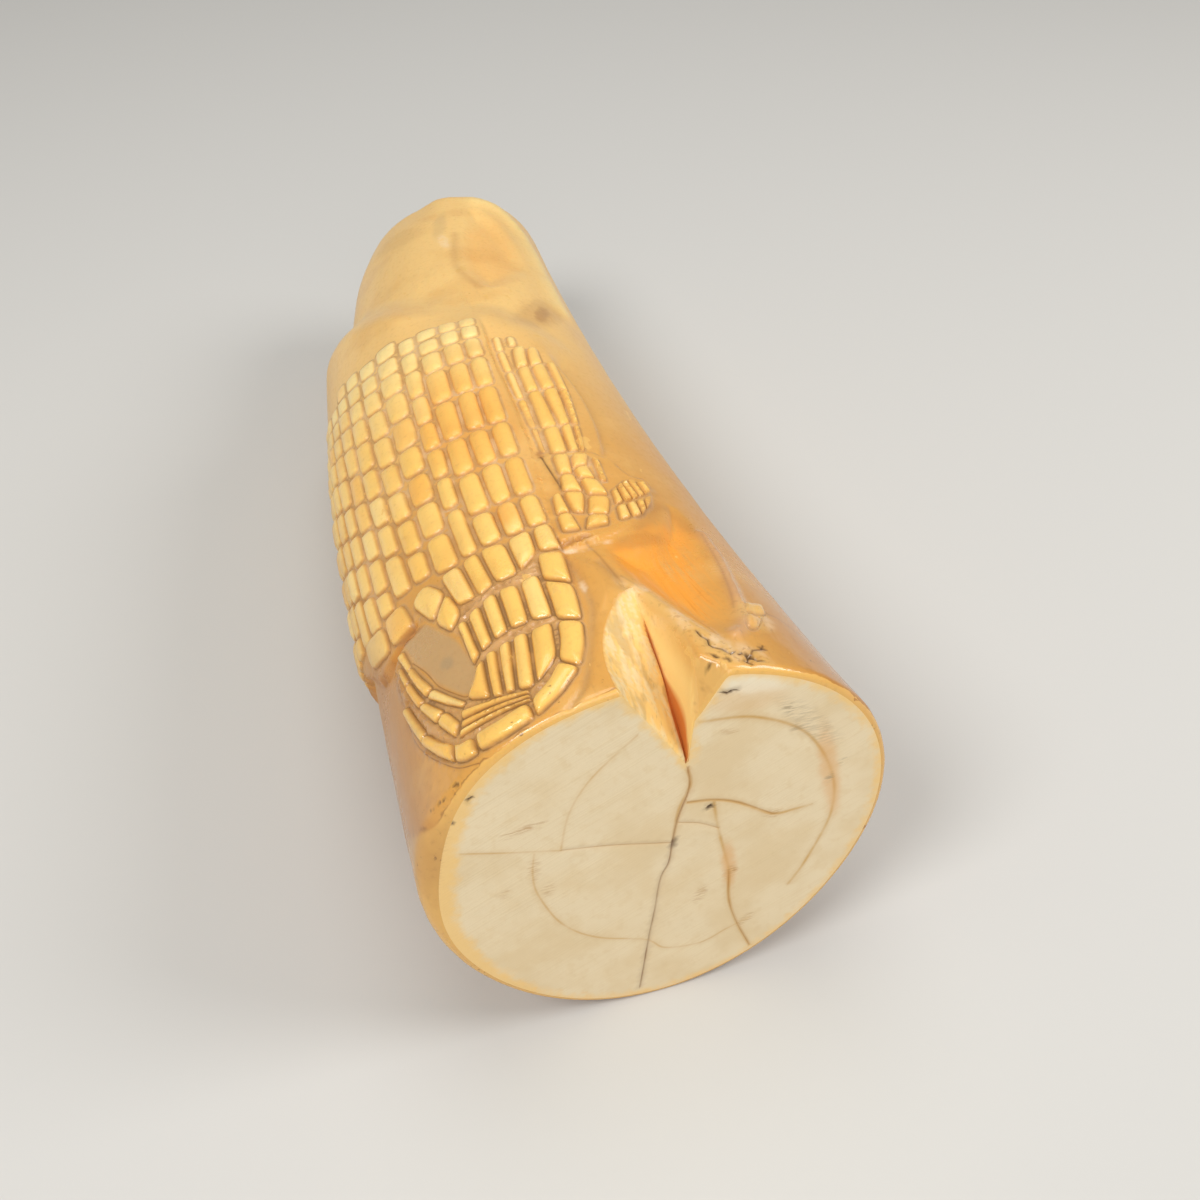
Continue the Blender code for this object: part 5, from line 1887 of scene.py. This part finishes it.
    def material(self) -> bpy.types.Material:
        """Return the material."""
        tree = ShaderTree(SLOT)
        step, fall = tree.step, tree.fall
        at = self.patterns(tree)
        near_end = fall(at.along, 14.0, 34.0)
        groove = step(at.inside, -0.4, -0.12) * fall(at.inside, -0.04, 0.16)
        broken = tree.stored("broken")
        colour = tree.painted(
            tree.colour(self.near, self.far, step(at.along, 30.0, 100.0)),
            self.aged(tree, at, near_end) + self.dirty(tree, at, groove)
            + self.marked(tree, at) + self.snapped(tree, at, broken))
        rough = self.roughness + (at.cloud - 0.5) * 0.25 + (at.fleck - 0.5) * 0.2
        rough = tree.blend(rough + groove * 0.2 - near_end * 0.16, self.broken_roughness, broken)
        for name, value in (("Weight", self.glow), ("Radius", self.glow_colours), ("Scale", self.glow_reach)):
            tree.shader.inputs["Subsurface " + name].default_value = value
        return tree.finish(colour, rough, at.grain * 0.5 + at.blotch * 0.5, self.grain_depth)


@dataclass(frozen=True)
class SawnIvory:
    """Pale, matt, sawn dentine with growth rings, cracks and a golden rim."""

    pale: Colour = srgb(236, 216, 178)
    warm: Colour = srgb(226, 200, 154)
    ring: Colour = srgb(204, 158, 84)
    crack: Colour = srgb(146, 108, 76)
    thin: Colour = srgb(180, 128, 66)
    rim: Colour = srgb(244, 200, 120)
    stain: Colour = srgb(182, 134, 72)
    grey: Colour = srgb(168, 146, 112)
    honey: Colour = srgb(224, 158, 78)
    white: Colour = srgb(255, 246, 222)
    grime: Colour = srgb(92, 66, 42)
    roughness: float = 0.55
    saw_depth: float = 0.00005
    gold_width: float = 0.5
    gold_gain: float = 1.2

    def material(self) -> bpy.types.Material:
        """Return the material."""
        tree = ShaderTree("sawn_ivory")
        step, stored = tree.step, tree.stored
        across, rise, edge = stored("section_across"), stored("section_rise"), stored("edge")
        cloud = tree.noise(tree.place, 110.0, 3.0, 0.55)
        speck = tree.noise(tree.place, 700.0, 2.0, 0.6)
        saw = tree.join(across * 0.02 + rise * 0.05, rise * 2.2 - across * 1.1, 0.0)
        lines = tree.noise(saw, 1.6, 2.0, 0.6)
        faint = step(tree.noise(tree.place, 200.0, 2.0), 0.35, 0.62)
        hatch = tree.noise(tree.join(across * 0.5, rise * 4.0, 0.0), 1.0, 3.0, 0.6)
        width = self.gold_width + self.gold_gain * tree.bump(across, -23.0, 6.0)
        width = width + (cloud - 0.5) * 1.0 + (speck - 0.5) * 2.4
        gold = tree.fall(edge - width, -0.9, 0.9)
        colour = tree.painted(self.pale, [
            (self.warm, step(cloud, 0.4, 0.65) * 0.7),
            (self.warm, step(speck, 0.5, 0.72) * 0.4),
            (self.warm, step(lines, 0.5, 0.7) * 0.35),
            (self.ring, stored("ring") * tree.blend(0.45, 0.85, faint)),
            (self.ring, stored("faint") * tree.blend(0.3, 0.65, faint)),
            (self.honey, stored("honey") * 0.5),
            (self.rim, gold * 0.8),
            (self.stain, stored("stain") * step(hatch, 0.42, 0.62) * 0.75),
            (self.grey, stored("grey") * step(hatch, 0.42, 0.58) * 0.8),
            # Painted highlight on the face's top edge, from its pale patch.
            (self.white, stored("pale") * 0.9),
            (self.thin, stored("hair") * 0.6),
            (tree.colour(self.thin, self.crack, step(rise, 12.0, -6.0)),
             stored("crack") * tree.blend(0.6, 0.85, faint)),
            (self.grime, tree.high(stored("grime"), stored("split")))])
        rough = self.roughness + (cloud - 0.5) * 0.2 - gold * 0.15
        return tree.finish(colour, rough, lines * 0.7 + speck * 0.3, self.saw_depth)


# ---- the whole tusk

@dataclass
class CarvedTusk:
    """The one piece: skin, sawn face and far end welded into a closed mesh."""

    body: TuskBody
    start: Vector
    name: str = "ivory_tusk"
    weld_distance: float = 2.5e-6
    flat_distance: float = 1e-7
    sharp_angle: float = 50.0

    def build(self) -> bpy.types.Object:
        """Build the tusk and return its object."""
        ivory, sawn = CarvedIvory().material(), SawnIvory().material()
        skin = TuskSkin(self.body, Notch(), Relief(), CarvedAreas(), ScalePattern(), self.start)
        skin_mesh = skin.build(ivory)
        LOG.info("skin: %d scales, %d points", len(skin.scales), len(skin_mesh.vertices))
        rows = read_numbers(skin_mesh, "along")
        front, back = sorted(border_loops(skin_mesh), key=lambda loop: rows[loop[0]])
        face = SawnEnd("sawn_face", self.body, 0.0, self.start, FACE_MARKS)
        end = SawnEnd("far_end", self.body, self.body.length, self.start, Marks(in_section), spacing=1.1)
        parts = [skin_mesh, face.build(skin_mesh, front, sawn, turned=False),
                 end.build(skin_mesh, back, sawn, turned=True)]
        for part in parts[1:]:
            LOG.info("%s: %d points", part.name, len(part.vertices))
        return self.weld(parts)

    def weld(self, parts: list[bpy.types.Mesh]) -> bpy.types.Object:
        """Join the meshes, weld the ends to the skin's own border points and return the object."""
        skin_points = len(parts[0].vertices)
        joined = []
        for part in parts:
            made = bpy.data.objects.new(part.name, part)
            bpy.context.scene.collection.objects.link(made)
            joined.append(made)
        tusk = joined[0]
        with bpy.context.temp_override(active_object=tusk, object=tusk,
                                       selected_objects=joined, selected_editable_objects=joined):
            bpy.ops.object.join()
        tusk.name = tusk.data.name = self.name
        work = bmesh.new()
        work.from_mesh(tusk.data)
        doubles = bmesh.ops.find_doubles(work, verts=work.verts, keep_verts=work.verts[:skin_points],
                                         dist=self.weld_distance)
        bmesh.ops.weld_verts(work, targetmap=doubles["targetmap"])
        bmesh.ops.dissolve_degenerate(work, edges=work.edges, dist=self.flat_distance)
        open_edges = sum(1 for edge in work.edges if not edge.is_manifold)
        volume = work.calc_volume(signed=True) * 1e6
        work.to_mesh(tusk.data)
        work.free()
        LOG.info("tusk: %d triangles, %d open edges, %.1f cubic centimetres",
                 len(tusk.data.polygons), open_edges, volume)
        tusk.data.shade_smooth()
        tusk.data.set_sharp_from_angle(angle=math.radians(self.sharp_angle))
        return tusk


@dataclass(frozen=True)
class Lamp:
    """One soft round light that faces the tusk."""

    name: str
    place: tuple[float, float, float]
    size: float
    power: float
    aim: tuple[float, float, float] = (0.0, 0.0, 0.02)

    def build(self) -> None:
        """Add the light to the scene."""
        lamp = bpy.data.lights.new("studio_" + self.name, "AREA")
        lamp.shape, lamp.size, lamp.energy = "DISK", self.size, self.power
        made = bpy.data.objects.new("studio_" + self.name, lamp)
        made.location = self.place
        way = Vector(self.aim) - Vector(self.place)
        made.rotation_euler = way.to_track_quat("-Z", "Y").to_euler()
        bpy.context.scene.collection.objects.link(made)


@dataclass(frozen=True)
class Studio:
    """A plain pale floor, soft light from both sides and the camera."""

    floor_size: float = 3.0
    floor_colour: Colour = srgb(204, 202, 197)
    floor_roughness: float = 0.9
    world: float = 0.24
    world_colour: Colour = (1.0, 0.98, 0.95)
    lamps: tuple[Lamp, ...] = (Lamp("left", (-0.35, -0.26, 0.53), 0.26, 2.2),
                               Lamp("right", (0.46, -0.16, 0.42), 0.3, 1.8),
                               Lamp("front", (-0.05, -0.6, 0.4), 0.4, 0.8),
                               Lamp("top", (0.0, 0.12, 0.6), 0.4, 1.0))
    aim: tuple[float, float, float] = (0.0114, -0.0042, 0.0)
    distance: float = 0.2101
    camera_yaw: float = 14.33
    camera_pitch: float = 44.41
    lens: float = 39.24
    sensor: float = 36.0
    near_clip: float = 0.005

    def build(self) -> bpy.types.Object:
        """Set up the floor, lights, world and camera and return the floor."""
        for lamp in self.lamps:
            lamp.build()
        world = bpy.data.worlds.new("studio_world")
        world.use_nodes = True
        sky = world.node_tree.nodes["Background"]
        sky.inputs["Color"].default_value = (*self.world_colour, 1.0)
        sky.inputs["Strength"].default_value = self.world
        bpy.context.scene.world = world
        bpy.context.scene.view_settings.view_transform = "Standard"
        self.camera()
        return self.floor()

    def floor(self) -> bpy.types.Object:
        """Add the floor."""
        half = self.floor_size / 2.0
        mesh = bpy.data.meshes.new("studio_floor")
        mesh.from_pydata([(-half, -half, 0.0), (half, -half, 0.0), (half, half, 0.0), (-half, half, 0.0)],
                         [], [(0, 1, 2, 3)])
        floor = bpy.data.objects.new("studio_floor", mesh)
        bpy.context.scene.collection.objects.link(floor)
        finish = bpy.data.materials.new("studio_paper")
        finish.use_nodes = True
        shader = finish.node_tree.nodes["Principled BSDF"]
        shader.inputs["Base Color"].default_value = (*self.floor_colour, 1.0)
        shader.inputs["Roughness"].default_value = self.floor_roughness
        mesh.materials.append(finish)
        return floor

    def camera(self) -> None:
        """Add the camera and make it the scene's camera."""
        yaw, pitch = math.radians(self.camera_yaw), math.radians(self.camera_pitch)
        way = Vector((math.sin(yaw) * math.cos(pitch), math.cos(yaw) * math.cos(pitch), -math.sin(pitch)))
        data = bpy.data.cameras.new("studio_camera")
        data.lens, data.sensor_width, data.clip_start = self.lens, self.sensor, self.near_clip
        camera = bpy.data.objects.new("studio_camera", data)
        camera.location = Vector(self.aim) - way * self.distance
        camera.rotation_euler = way.to_track_quat("-Z", "Y").to_euler()
        bpy.context.scene.collection.objects.link(camera)
        bpy.context.scene.camera = camera


def start_of_axis(record: dict) -> Vector:
    """Return where the tusk's axis starts, from the mount on the sawn end."""
    mount = next(mount for mount in record["mounts"] if mount["name"] == "sawn_end")
    return Vector(mount["pos_m"])


def main() -> None:
    """Build the tusk and the studio, and hand each piece to the frame."""
    logging.basicConfig(level=logging.INFO, format="%(name)s: %(message)s")
    tusk = CarvedTusk(TuskBody(), start_of_axis(frame["record"])).build()
    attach(tusk, "root")
    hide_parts(NODE)
    LOG.info("piece %s stands for %s", tusk.name, NODE)
    Studio().build()


if __name__ == "__main__":
    main()
